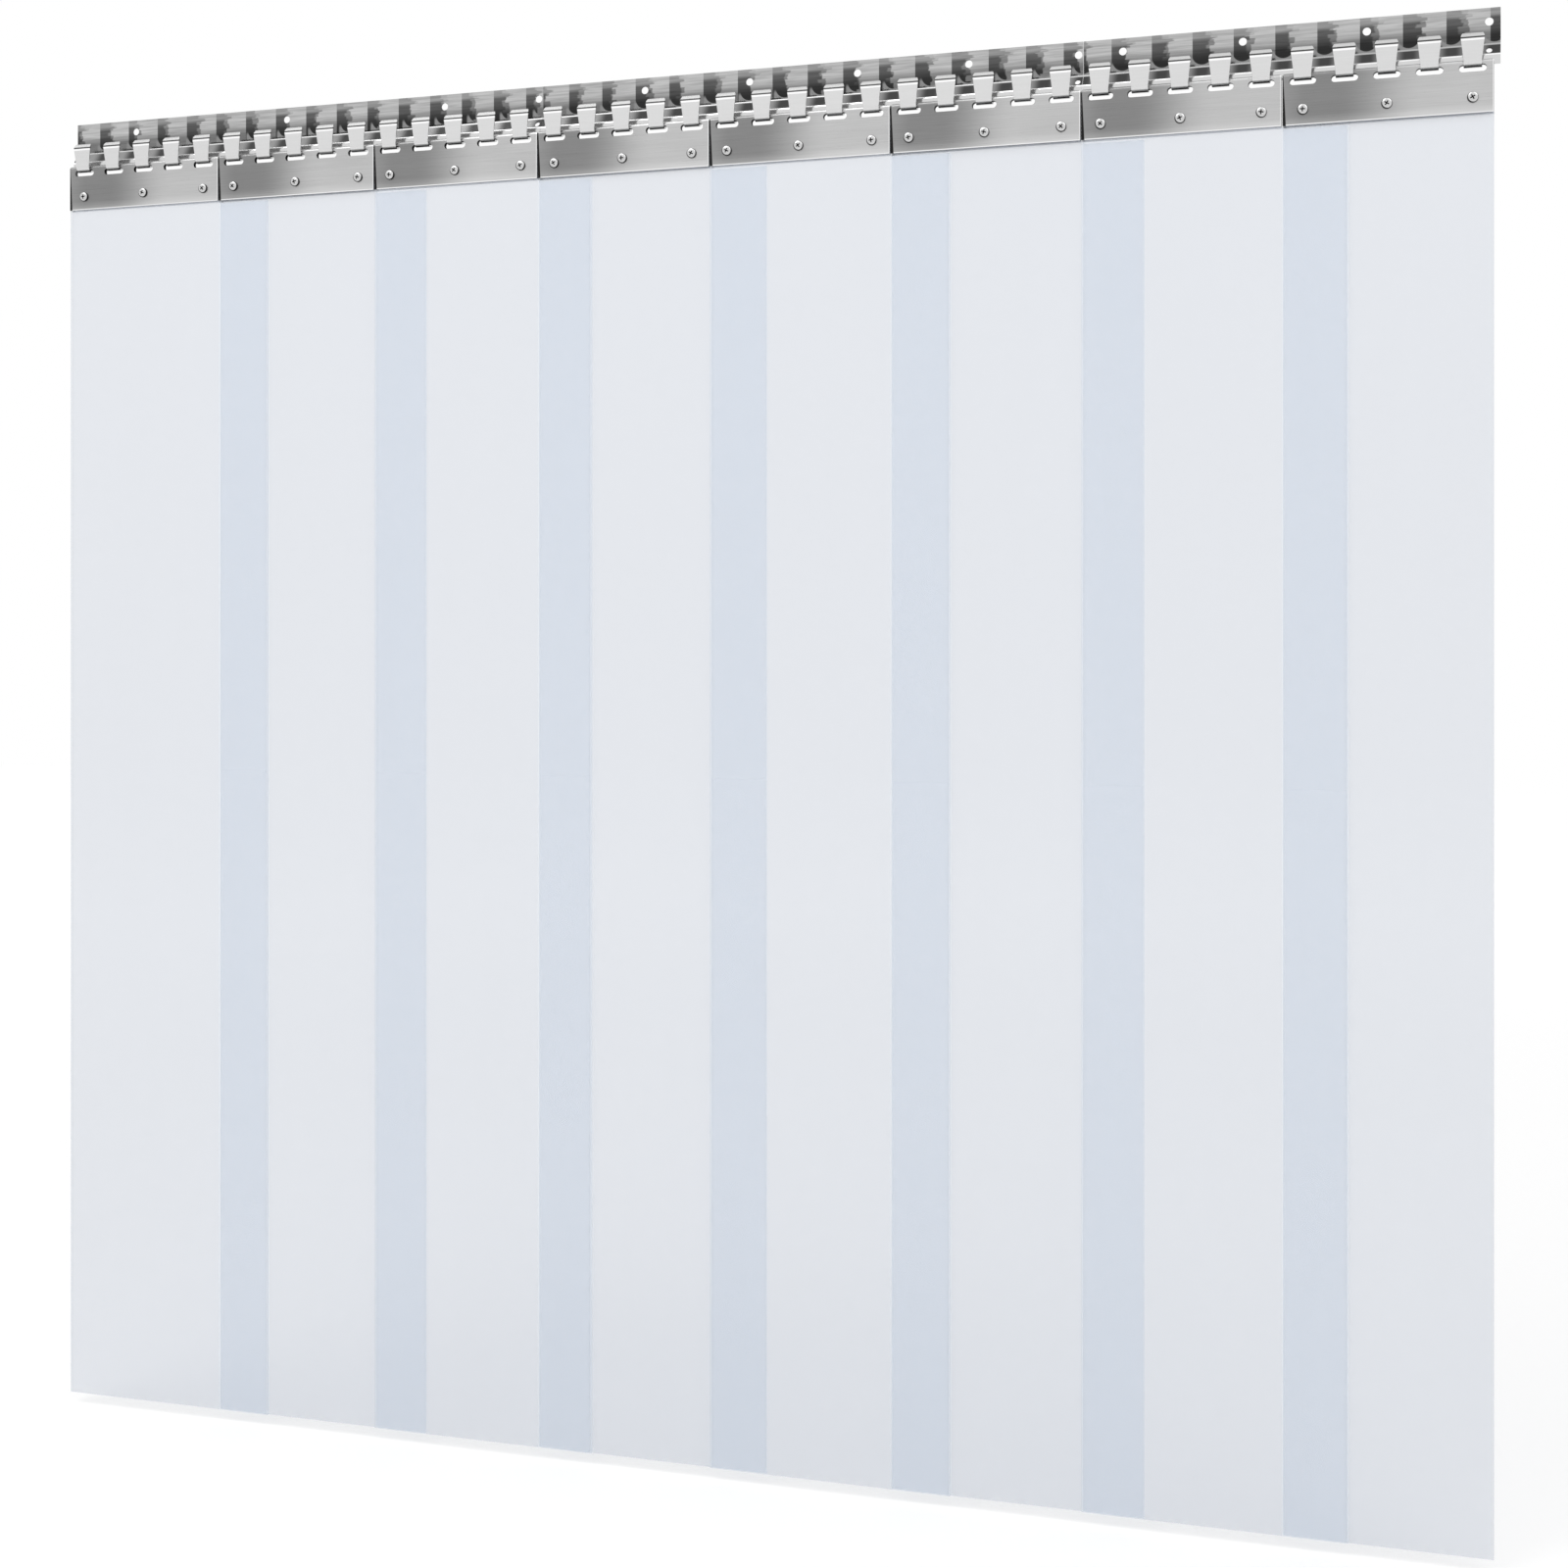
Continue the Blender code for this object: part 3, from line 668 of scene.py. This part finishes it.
def screw_points():
    """Points and faces of one screw with its nut, about its own axis at the clamp's middle.

    The rings run from the recess's floor over the crown, rim and shank to the nut's end, and
    each is a radius for every direction and one depth along Y.
    """
    arms = cross()
    around = np.ones_like(ANGLE)
    top = SEAT + HEAD_HEIGHT
    nut_end = SEAT + NUT_HEIGHT
    rings = [
        (arms * 0.55, -(top - RECESS_DEPTH * 0.88)),
        (arms * 0.60, -(top - RECESS_DEPTH * 0.8)),
        (arms * 0.96, -(SEAT + crown(arms) - RIM_BREAK)),
        (arms * 1.05, -(SEAT + crown(arms))),
    ]
    shoulder = HEAD_RADIUS * CROWN_SHARES[0]
    crown_rings = [arms + (shoulder - arms) * 0.5]
    crown_rings += [around * HEAD_RADIUS * share for share in CROWN_SHARES]
    rings += [(ring, -(SEAT + crown(ring))) for ring in crown_rings]
    rings += [
        (around * HEAD_RADIUS, -(SEAT + RIM_BREAK)),
        (around * (HEAD_RADIUS - RIM_BREAK), -SEAT),
        (around * SHANK_RADIUS, -SEAT),
        (around * SHANK_RADIUS, SEAT),
    ]
    chamfer = np.minimum(hexagon(NUT_HALF), NUT_HALF * CHAMFER_SHARE)
    body = np.minimum(hexagon(NUT_HALF), NUT_HALF * CORNER_SHARE)
    rings += [
        (chamfer, SEAT),
        (body, SEAT + NUT_CHAMFER),
        (body, nut_end - NUT_CHAMFER),
        (chamfer, nut_end),
        (around * (SHANK_RADIUS + THREAD_BREAK), nut_end),
        (around * SHANK_RADIUS, nut_end - THREAD_BREAK),
        (around * THREAD_RADIUS, nut_end - THREAD_BREAK),
        (around * (THREAD_RADIUS - THREAD_BREAK), nut_end - END_SINK),
    ]
    radius = np.array([ring[0] for ring in rings])
    depth = np.array([ring[1] * around for ring in rings])
    points = np.stack([radius * np.cos(ANGLE), depth, radius * np.sin(ANGLE)], axis=-1)
    poles = [[0, -(top - RECESS_DEPTH), 0], [0, nut_end - END_SINK, 0]]
    points = np.vstack([points.reshape(-1, 3), poles])
    numbers = np.arange(radius.size).reshape(radius.shape)
    ahead = np.roll(numbers, -1, axis=1)
    quads = np.stack([numbers[:-1], numbers[1:], ahead[1:], ahead[:-1]], axis=-1)
    first = np.stack([np.full_like(ahead[0], radius.size), numbers[0], ahead[0]], axis=1)
    last = np.stack([np.full_like(ahead[0], radius.size + 1), ahead[-1], numbers[-1]], axis=1)
    return points, quads.reshape(-1, 4).tolist() + first.tolist() + last.tolist()


SCREW_MESH, SCREW_FACES = screw_points()
screws = []
for number in range(1, CLAMP_COUNT + 1):
    for place, across in enumerate(SCREW_PLACES, 1):
        name = "screw_%d_%d" % (number, place)
        middle = np.array(SWING["curtain_%d" % number]) + (across, 0, SCREW_Z)
        turned = math.radians(37 * number + 61 * place)
        spin = np.array([[math.cos(turned), 0, -math.sin(turned)], [0, 1, 0],
                         [math.sin(turned), 0, math.cos(turned)]])
        spun = SCREW_MESH @ spin.T
        screw = add_mesh("pan_" + name, spun + middle, SCREW_FACES, spun[:, [0, 2]])
        screw.data.shade_smooth()
        screw.data.set_sharp_from_angle(angle=SHARP)
        dress(screw, "curtain_%d" % number, [name])
        screws.append(screw)

# %% [markdown]
# ## Writing finishes as sums
# A finish is a sum over places on the surface, and node trees are hard to read as a sum. A
# small class wraps a socket, so that plus, minus, times and so on add the Math nodes.

# %% Finish helpers


class Number:
    """A socket in a node tree that can be used in Python sums."""

    def __init__(self, finish, socket):
        self.finish = finish
        self.socket = socket

    def math(self, operation, *others):
        """A Math node of this value and the others."""
        sockets = dict(enumerate((self,) + others))
        return self.finish.node("ShaderNodeMath", {"operation": operation}, sockets)

    def __add__(self, other):
        return self.math("ADD", other)

    def __sub__(self, other):
        return self.math("SUBTRACT", other)

    def __rsub__(self, other):
        return self.finish.number(other).math("SUBTRACT", self)

    def __mul__(self, other):
        return self.math("MULTIPLY", other)

    def __truediv__(self, other):
        return self.math("DIVIDE", other)

    def __rtruediv__(self, other):
        return self.finish.number(other).math("DIVIDE", self)

    __radd__ = __add__
    __rmul__ = __mul__

    def fraction(self):
        """The part after the point."""
        return self.math("FRACT")

    def floor(self):
        """The whole number below."""
        return self.math("FLOOR")

    def size(self):
        """The value without its sign."""
        return self.math("ABSOLUTE")

    def squared(self):
        """The value times itself, as a power node."""
        return self.math("POWER", 2.0)

    def maximum(self, other):
        """The larger of two values, which joins two masks."""
        return self.math("MAXIMUM", other)

    def ease(self, low, high):
        """0 at low, 1 at high and a smooth rise between, with low above high for a fall."""
        return self.finish.node(
            "ShaderNodeMapRange", {"interpolation_type": "SMOOTHSTEP", "clamp": True},
            {"Value": self, "From Min": low, "From Max": high, "To Min": 0, "To Max": 1})

    def band(self, low, high, soft):
        """1 between low and high, with soft ends of the given length outside them."""
        return self.ease(low - soft, low) * self.ease(high + soft, high)

    def toward(self, other, share):
        """This value where the share is 0, and the other one where it is 1."""
        return (other - self) * share + self


class Finish:
    """One node tree, with one way to add any node to it."""

    def __init__(self, name, owner=None):
        self.owner = owner or bpy.data.materials.new(name)
        self.owner.use_nodes = True
        self.tree = self.owner.node_tree
        self.shader = self.tree.nodes.get("Principled BSDF")

    def put(self, socket, value):
        """Link a value to a socket, or set the socket to a plain value."""
        if isinstance(value, Number):
            self.tree.links.new(value.socket, socket)
        else:
            socket.default_value = value

    def node(self, kind, settings=None, sockets=None, out=0):
        """Add a node: its settings first, then its sockets' values or links."""
        node = self.tree.nodes.new(kind)
        for key, value in (settings or {}).items():
            setattr(node, key, value)
        for key, value in (sockets or {}).items():
            self.put(node.inputs[key], value)
        return Number(self, node.outputs[out])

    def number(self, value):
        """A plain number as a node, for sums that start with one."""
        return self.node("ShaderNodeMath", {"operation": "ADD"}, {0: value, 1: 0.0})

    def split(self, vector):
        """The three numbers of a vector."""
        node = self.node("ShaderNodeSeparateXYZ", None, {0: vector}).socket.node
        return [Number(self, socket) for socket in node.outputs]

    def object_place(self):
        """Object coordinates as one vector."""
        return self.node("ShaderNodeTexCoord", None, None, out=3)

    def place(self):
        """The three coordinates of the surface in the object's own frame."""
        return self.split(self.object_place())

    def flat_place(self):
        """The two coordinates on the piece's own flat UV map."""
        return self.split(self.node("ShaderNodeUVMap", {"uv_map": "flat"}))[:2]

    def noise(self, scale, stretch=(1, 1, 1), detail=3.0, rough=0.5):
        """Noise with a size for each axis: stretch tells how often it repeats along it."""
        spread = self.node("ShaderNodeVectorMath", {"operation": "MULTIPLY"},
                           {0: self.object_place(), 1: stretch})
        return self.node("ShaderNodeTexNoise", None, {
            "Vector": spread, "Scale": scale, "Detail": detail, "Roughness": rough})

    def blend(self, share, low, high):
        """Colour between two colours. A Mix node's colour sockets are 6 and 7, its output 2."""
        low, high = ((*c, 1) if isinstance(c, tuple) else c for c in (low, high))
        return self.node("ShaderNodeMix", {"data_type": "RGBA"}, {0: share, 6: low, 7: high}, out=2)

    def grey(self, tone):
        """Colour of a grey tone."""
        return self.blend(tone, (0, 0, 0), (1, 1, 1))

    def seen(self):
        """1 where the camera, gloss or a clear piece looks, and 0 for the light on things."""
        path = self.node("ShaderNodeLightPath").socket.node
        camera, gloss, clear = (Number(self, path.outputs[name]) for name in (
            "Is Camera Ray", "Is Glossy Ray", "Is Transmission Ray"))
        return camera.maximum(gloss).maximum(clear)

    def bump(self, height, distance):
        """Feed a height, whose full range is a distance in metres, to the shader's normal."""
        self.put(self.shader.inputs["Normal"], self.node("ShaderNodeBump", None, {
            "Height": height, "Distance": distance, "Strength": 1.0}))

    def set(self, **values):
        """Values or links of the shader's own sockets, with _ for a space in their names."""
        for key, value in values.items():
            self.put(self.shader.inputs[key.replace("_", " ")], value)


# %% [markdown]
# ## Polished rail
# The rail's mirror finish shows the hooks' backs and dark surroundings in turn. A white studio
# has nothing dark to reflect, so that reflection is painted into the steel's tone. Once per hook
# a dark painted patch starts at a sharp edge, and rows of random length lead from it over a middle
# tone to a light painted patch. The pattern repeats a little faster or slower than the hooks, so
# it slides along each rail length. Both patches darken downwards, and the dark one ends in a
# round cup between two tabs. The bends get a thin painted highlight each, the slope a dark
# painted reflection and the lip a light one. The tabs are satin and painted lighter as a
# reflection, with painted shade as a dark line at the fold and on the tip, a painted highlight
# just under the fold and a painted shadow under their foot. The side that faces the wall has no
# hooks before it, so its tone is plain.

# %% Rail pattern
HOOKS_PER_RAIL = 15
RIGHT_FROM = RAILS[-1][1]
STREAK_HEIGHT = 0.0068

# Place in its hook pitch where the light patch ends at a rail's first hook, and its shift per
# hook: on the left and centre lengths, and on the right one
LIGHT_END = 0.79
SLIDE = -0.021
RIGHT_LIGHT_END = 0.70
RIGHT_SLIDE = 0.020

# Tones of the painted reflection, of the plain wall side, and of the painted highlights on bends
# and lip
DARK_REFLECTION_TONE = 0.03
LIGHT_REFLECTION_TONE = 0.47
PLAIN_TONE = 0.36
RIM_REFLECTION_TONE = 0.26
SLOPE_REFLECTION_TONE = 0.06
BEND_HIGHLIGHT_TONE = 0.46
LIP_REFLECTION_TONE = 0.66
LIP_HIGHLIGHT_TONE = 0.92

rail_finish = Finish("polished_rail")
x, y, z = rail_finish.place()
grain = rail_finish.noise(900, (0.03, 1.0, 1.0), 3.0, 0.6)
lines = rail_finish.noise(420, (0.05, 1.0, 1.0), 2.0, 0.6)
streak = rail_finish.noise(48, (0.35, 1.0, 3.6), 2.0, 0.5)
hooks = (x - LEFT_END) / HOOK_PITCH
along = (hooks / HOOKS_PER_RAIL).fraction() * HOOKS_PER_RAIL
on_right = hooks.ease(RIGHT_FROM - 0.01, RIGHT_FROM + 0.01)
light_end = (along * SLIDE + LIGHT_END).toward(along * RIGHT_SLIDE + RIGHT_LIGHT_END, on_right)
slid = hooks - light_end + 1
patch = slid.fraction()
patch_number = slid.floor()
height = (z - BACK_BOTTOM) / BACK_HEIGHT


def row_length(row_height, turn):
    """A random number from 0 to 1 for each row of each patch, also shifted from patch to patch."""
    row = (z / row_height + patch_number * turn).floor()
    return rail_finish.node("ShaderNodeTexWhiteNoise", {"noise_dimensions": "2D"}, {
        "Vector": rail_finish.node("ShaderNodeCombineXYZ", None, {0: patch_number, 1: row})})


step = row_length(STREAK_HEIGHT, 0.37)
half_step = row_length(STREAK_HEIGHT * 0.6, 0.61)
reach = rail_finish.node("ShaderNodeTexWhiteNoise", {"noise_dimensions": "1D"}, {"W": patch_number})
fray = patch + (reach - 0.5) * 0.12 + (streak - 0.5) * 0.12 - height.band(0.80, 0.87, 0.02) * 0.14
middle = (fray + (half_step - 0.5) * 0.18).ease(0.30, 0.36)
light = (fray + (step - 0.5) * 0.16).ease(0.40, 0.44)
# Painted reflection: tones of the dark, middle and light patches, which darken downwards
dark_reflection = height.ease(0.20, 0.70) * 0.08 + height.ease(0.72, 0.86) * 0.19 + DARK_REFLECTION_TONE
middle_reflection = dark_reflection + height.ease(0.20, 0.60) * 0.12
light_reflection = (height.ease(0.26, 0.62) * 0.62 + 0.38) * LIGHT_REFLECTION_TONE
tone = dark_reflection.toward(middle_reflection, middle).toward(light_reflection, light)
tone = tone * (lines * 0.9 + 0.55)
print("the rail's pattern has %d nodes" % len(rail_finish.tree.nodes))

# %% [markdown]
# The painted reflection's dark patch ends in an ellipse about the middle between two tabs, and a
# rim of a middle tone shows beside it. The slope's painted reflection is dark there too and
# lighter behind the tabs. By their height the two bends take thin painted highlights and the lip
# a light painted reflection, and the side that faces the wall takes its plain tone by its normal.

# %% Rail bends and slope
gap = (hooks + 0.5).fraction() - 0.5
cup = (gap / 0.26).squared() + ((height - 0.36) / 0.30).squared()
# The painted reflection's dark patch ends in a cup with a rim of middle tone beside it
rim = cup.ease(0.92, 1.08) * height.ease(0.34, 0.20) * gap.size().ease(0.34, 0.28)
tone = tone.toward(RIM_REFLECTION_TONE, rim)
# Painted reflection on the slope and lip, and painted highlights on the two bends
slope_reflection = gap.size().ease(0.08, 0.40) * 0.24 + SLOPE_REFLECTION_TONE
tone = tone.toward(slope_reflection, z.ease(BACK_BOTTOM + 0.0002, BACK_BOTTOM - 0.0010))
tone = tone.toward(BEND_HIGHLIGHT_TONE, z.band(BACK_BOTTOM - 0.0008, BACK_BOTTOM + 0.0004, 0.0008))
facing = rail_finish.node("ShaderNodeNewGeometry", None, None, out=1)
behind = rail_finish.split(facing)[1].ease(0.1, 0.3)
tone = tone.toward(streak * 0.16 + PLAIN_TONE, behind)
tone = tone.toward(LIP_REFLECTION_TONE, z.ease(SLOPE_BOTTOM + 0.0018, SLOPE_BOTTOM + 0.0004))
tone = tone.toward(LIP_HIGHLIGHT_TONE, z.band(SLOPE_BOTTOM - 0.0002, SLOPE_BOTTOM + 0.0008, 0.0006))
print("with its bends and slope it has %d nodes" % len(rail_finish.tree.nodes))

# %% [markdown]
# The tabs could have a material of their own. Masks tell them from the rail behind by their
# depth and from their tips by their height above the hooks' axis, so the whole comb keeps one
# finish.

# %% Hooks' tabs
# The tabs' painted reflection tone, painted shade of fold and tip, and painted shadow under the
# foot
TAB_REFLECTION_TONE = 0.67
FOLD_SHADE_TONE = 0.07
TIP_SHADE_TONE = 0.58
FOOT_SHADOW_TONE = 0.20

rise = z - AXIS_Z
tab = y.ease(-0.0210, -0.0224)
tip = rise.ease(0.0252, 0.0260) * y.ease(-0.0120, -0.0160)
foot = rise.ease(-0.0040, -0.0050) * y.ease(-0.0165, -0.0180)
# Painted on the tabs: a lighter tone as a reflection, a highlight under the fold, shade on the fold
# line and the tip, and a shadow under the foot
tab_tone = (rise.band(0.0216, 0.0232, 0.0006) * 0.28 + TAB_REFLECTION_TONE) * (grain * 0.10 + 0.95)
tab_tone = tab_tone.toward(FOLD_SHADE_TONE, rise.band(0.0239, 0.0253, 0.0005))
tab_tone = tab_tone.toward(TIP_SHADE_TONE, rise.ease(0.0254, 0.0260))
tone = tone.toward(tab_tone, tab.maximum(tip)).toward(FOOT_SHADOW_TONE, foot)
rail_finish.set(Base_Color=rail_finish.grey(tone), Metallic=1.0,
                Roughness=tab * 0.24 + 0.10 + grain * 0.08)
rail_finish.bump(grain, 0.00002)
for comb_rail in rails:
    comb_rail.data.materials.append(rail_finish.owner)
print("the whole rail finish has %d nodes" % len(rail_finish.tree.nodes))

# %% [markdown]
# ## Brushed clamps
# The plates are brushed along their length. A painted reflection makes each darker on its left,
# a little lighter again at its very left, lighter on its right, and lighter towards the lower
# edge and at the ridge. The cut edges get painted highlights as thin light lines along the lower
# and right edges, and a painted shadow lies as a dark wedge at the left edge and a dark line at
# the right one. An anisotropic gloss hardly shows in even white light. So the grain is noise
# that is stretched along the plate, and drives tone, roughness and bump.

# %% Brushed clamps
# Painted tones: the plate's dark side, highlight lines on the cut edges and shadow at the side
# edges
PLATE_TONE = 0.235
LOWER_EDGE_HIGHLIGHT_TONE = 0.85
SIDE_EDGE_HIGHLIGHT_TONE = 0.80
SHADOW_TONE = 0.02
WEDGE_SLOPE = 0.050

clamp_finish = Finish("brushed_clamp")
x, y, z = clamp_finish.place()
across = ((x - LEFT_END) / CLAMP_PITCH).fraction()
rise = z - AXIS_Z
grain = clamp_finish.noise(1300, (0.012, 1.0, 1.0), 4.0, 0.65)
cloud = clamp_finish.noise(16, (0.6, 1.0, 2.0), 2.0)
# Painted reflection: dark on the left, light on the right, a little lighter at the far left,
# lighter near the bottom and at the ridge
tone = across.ease(0.26, 0.68) * 0.27 + PLATE_TONE + across.ease(0.12, 0.0) * 0.05
tone = tone + rise.ease(-0.0450, FRONT_BOTTOM) * 0.10 + rise.ease(-0.004, 0.002) * 0.08
tone = tone * (grain * 0.30 + 0.85) * (cloud * 0.16 + 0.92)
# Painted highlight lines on the lower and right edges, and painted shadow as a wedge at the left
# edge and a line at the right edge
tone = tone.toward(LOWER_EDGE_HIGHLIGHT_TONE, rise.ease(-0.0556, -0.0561))
tone = tone.toward(SIDE_EDGE_HIGHLIGHT_TONE, across.ease(0.9915, 0.9930))
left = across * CLAMP_PITCH - CLAMP_GAP / 2
tone = tone.toward(SHADOW_TONE, (left + rise * WEDGE_SLOPE).ease(0.0010, 0.0006))
tone = tone.toward(SHADOW_TONE, across.ease(0.9966, 0.9972))
clamp_finish.set(Base_Color=clamp_finish.grey(tone), Metallic=1.0, Roughness=grain * 0.16 + 0.22)
clamp_finish.bump(grain, 0.00003)
for clamp in clamps:
    clamp.data.materials.append(clamp_finish.owner)
print("clamp finish has %d nodes" % len(clamp_finish.tree.nodes))

# %% [markdown]
# ## Screw steel
# The heads are bright and small. Their UV map holds the place across and up from the screw's
# axis. The recess is what lies near the axis and below the crown, and is dark because little
# light gets in. A mask finds it, so head, shank and nut stay one mesh with one material. A dark
# line runs round the rim and is widest on the lower left, away from the light.

# %% Screw steel
STEEL_TONE = 0.50
RIM_SHADOW_TONE = 0.04
RECESS_TONE = 0.02
FACE_DEPTH = AXIS_Y - SEAT

screw_finish = Finish("screw_steel")
across, up = screw_finish.flat_place()
y = screw_finish.place()[1]
reach = (across * across + up * up).math("SQRT") / HEAD_RADIUS
shade = (across * -0.85 + up * -0.35) / HEAD_RADIUS
in_head = y.band(FACE_DEPTH - HEAD_HEIGHT + 0.0004, FACE_DEPTH, 0.0001)
recess = reach.ease(0.60, 0.56) * in_head
speck = screw_finish.noise(700)
tone = speck * 0.20 + STEEL_TONE
tone = tone.toward(RIM_SHADOW_TONE, (reach + shade.maximum(0) * 0.22).ease(0.90, 0.98))
tone = tone.toward(RECESS_TONE, recess)
screw_finish.set(Base_Color=screw_finish.grey(tone), Metallic=1.0, Roughness=speck * 0.15 + 0.18)
screw_finish.bump(speck, 0.00002)
for screw in screws:
    screw.data.materials.append(screw_finish.owner)
print("screw finish has %d nodes" % len(screw_finish.tree.nodes))

# %% [markdown]
# ## Clear plastic
# Soft PVC lets most light through, scatters a little of it and has a faint blue tint. Every
# surface of a sheet is partly clear, so two sheets that lap look denser than one. The lapped
# zones are painted bluer and a little more see-through, which stands in for the light that passes
# two layers and offsets the shade that one sheet casts on the other.
# A cut edge gathers light, so a thin light line runs along each side, and the lines of the
# roll show as very slight upright waves. Refraction through so many thin layers would take
# long and change little, so the sheets are partly see-through by alpha.

# %% Clear plastic
LAP = (SHEET_WIDTH - CLAMP_WIDTH) / CLAMP_PITCH
SINGLE_TINTS = ((0.708, 0.740, 0.801), (0.720, 0.752, 0.813))
# Painted tints of the lapped zones, bluer for the light that passes two layers
PAINTED_LAP_TINTS = ((0.684, 0.747, 0.840), (0.696, 0.759, 0.852))
LIGHT_LINE_TINT = (0.96, 0.98, 1.0)
DARK_LINE_TINT = (0.45, 0.49, 0.55)
CUT_FACE_TINT = (0.50, 0.60, 0.72)
COVER = 0.41
LAP_COVER = -0.11

sheet_finish = Finish("clear_plastic")
x, y, z = sheet_finish.place()
across = sheet_finish.flat_place()[0]
lapped = ((x - LEFT_END) / CLAMP_PITCH).fraction().ease(LAP + 0.001, LAP)
lapped = lapped * x.ease(LEFT_END + CLAMP_PITCH - 0.002, LEFT_END + CLAMP_PITCH)
lapped = lapped * z.ease(AXIS_Z + NOTCH_Z + 0.002, AXIS_Z + NOTCH_Z)
flow = sheet_finish.noise(24, (1.0, 1.0, 0.05), 3.0, 0.6)


def at_edges(far, near):
    """1 nearer to either side edge of the sheet than one distance, 0 beyond another."""
    return across.ease(far, near).maximum(across.ease(SHEET_WIDTH - far, SHEET_WIDTH - near))


# The lapped zones are painted bluer and, with LAP_COVER, a little clearer, to offset the shade of
# one sheet on the other
single = sheet_finish.blend(flow, *SINGLE_TINTS)
double = sheet_finish.blend(flow, *PAINTED_LAP_TINTS)
tint = sheet_finish.blend(lapped, single, double)
tint = sheet_finish.blend(at_edges(0.0016, 0.0006) * 0.8, tint, LIGHT_LINE_TINT)
dark_line = across.band(0.0022, 0.0040, 0.0008).maximum(
    across.band(SHEET_WIDTH - 0.0040, SHEET_WIDTH - 0.0022, 0.0008))
tint = sheet_finish.blend(dark_line * 0.18, tint, DARK_LINE_TINT)
tint = sheet_finish.blend(at_edges(0.0004, 0.0002) * 0.7, tint, CUT_FACE_TINT)
sheet_finish.set(Base_Color=tint, Roughness=flow * 0.08 + 0.20, Specular_IOR_Level=0.25,
                 Alpha=lapped * LAP_COVER + COVER)
sheet_finish.bump(flow, 0.0003)
for sheet in sheets:
    sheet.data.materials.append(sheet_finish.owner)
print("sheet finish has %d nodes" % len(sheet_finish.tree.nodes))

# %% [markdown]
# ## Floor and light
# The photograph has a plain white ground. A pale floor lies just under the sheets and keeps
# their shadow. A world of that white would light the object too brightly. So the sky asks
# which kind of ray comes: it is white to the camera and at a lower level for the light.

# %% Floor
FLOOR_GAP = 0.015
FLOOR_Z = CAD_BOX[0][2] - FLOOR_GAP
FLOOR_REACH = 14.0
FLOOR_COLOUR = (0.90, 0.90, 0.90, 1)
NEAR, FAR = 1.4, 7.0
NEAR_LIFT = 0.15
FAR_LIFT = 0.255
corners = np.array([[-1, -1, 0], [1, -1, 0], [1, 1, 0], [-1, 1, 0]]) * FLOOR_REACH
floor = add_mesh("floor", corners + (0, 0, FLOOR_Z), [[0, 1, 2, 3]])
floor_finish = Finish("pale_floor")
x, y, z = floor_finish.place()
away = (x.squared() + y.squared()).math("SQRT")
lift = away.ease(NEAR, FAR) * (FAR_LIFT - NEAR_LIFT) + NEAR_LIFT
glow = floor_finish.grey(floor_finish.seen() * lift)
floor_finish.set(Base_Color=FLOOR_COLOUR, Roughness=0.9, Specular_IOR_Level=0.1,
                 Emission_Color=glow, Emission_Strength=1.0)
floor.data.materials.append(floor_finish.owner)
print("the floor lies %.0f mm under the sheets" % (1000 * FLOOR_GAP))

# %% Light
WHITE = (1, 1, 1, 1)
WORLD_LEVEL = 0.82
MIDDLE = (0, 0, -0.6)
LAMP_SIZE = 3.0

# Name, place and power of each lamp
LAMPS = (
    ("key", (-1.8, -2.6, 3.4), 60),
    ("fill", (2.6, -2.2, 3.0), 30),
)


def sky():
    """White to the camera, to gloss and to clear pieces, and a plain level for the rest."""
    world = bpy.data.worlds.new("studio")
    bpy.context.scene.world = world
    finish = Finish("studio", world)
    soft, white = (
        finish.node("ShaderNodeBackground", None, {"Color": WHITE, "Strength": level})
        for level in (WORLD_LEVEL, 1.0))
    mixed = finish.node("ShaderNodeMixShader", None, {0: finish.seen(), 1: soft, 2: white})
    output = [n for n in finish.tree.nodes if n.type == "OUTPUT_WORLD"][0]
    finish.put(output.inputs["Surface"], mixed)


def lamp(name, place, power):
    """A square area lamp that looks from its place at the curtain's middle.

    It is tipped up from straight down by the angle whose cosine is the way's fall over its
    length, and turned by the way's bearing.
    """
    data = bpy.data.lights.new(name, "AREA")
    data.size = LAMP_SIZE
    data.energy = power
    obj = bpy.data.objects.new(name, data)
    way = np.array(MIDDLE, float) - np.array(place, float)
    obj.location = place
    obj.rotation_euler = (math.acos(-way[2] / np.linalg.norm(way)), 0,
                          math.atan2(way[1], way[0]) - math.pi / 2)
    bpy.context.scene.collection.objects.link(obj)


sky()
for lamp_values in LAMPS:
    lamp(*lamp_values)
bpy.context.scene.view_settings.view_transform = "Standard"
print("lamps:", ", ".join(lamp_values[0] for lamp_values in LAMPS))
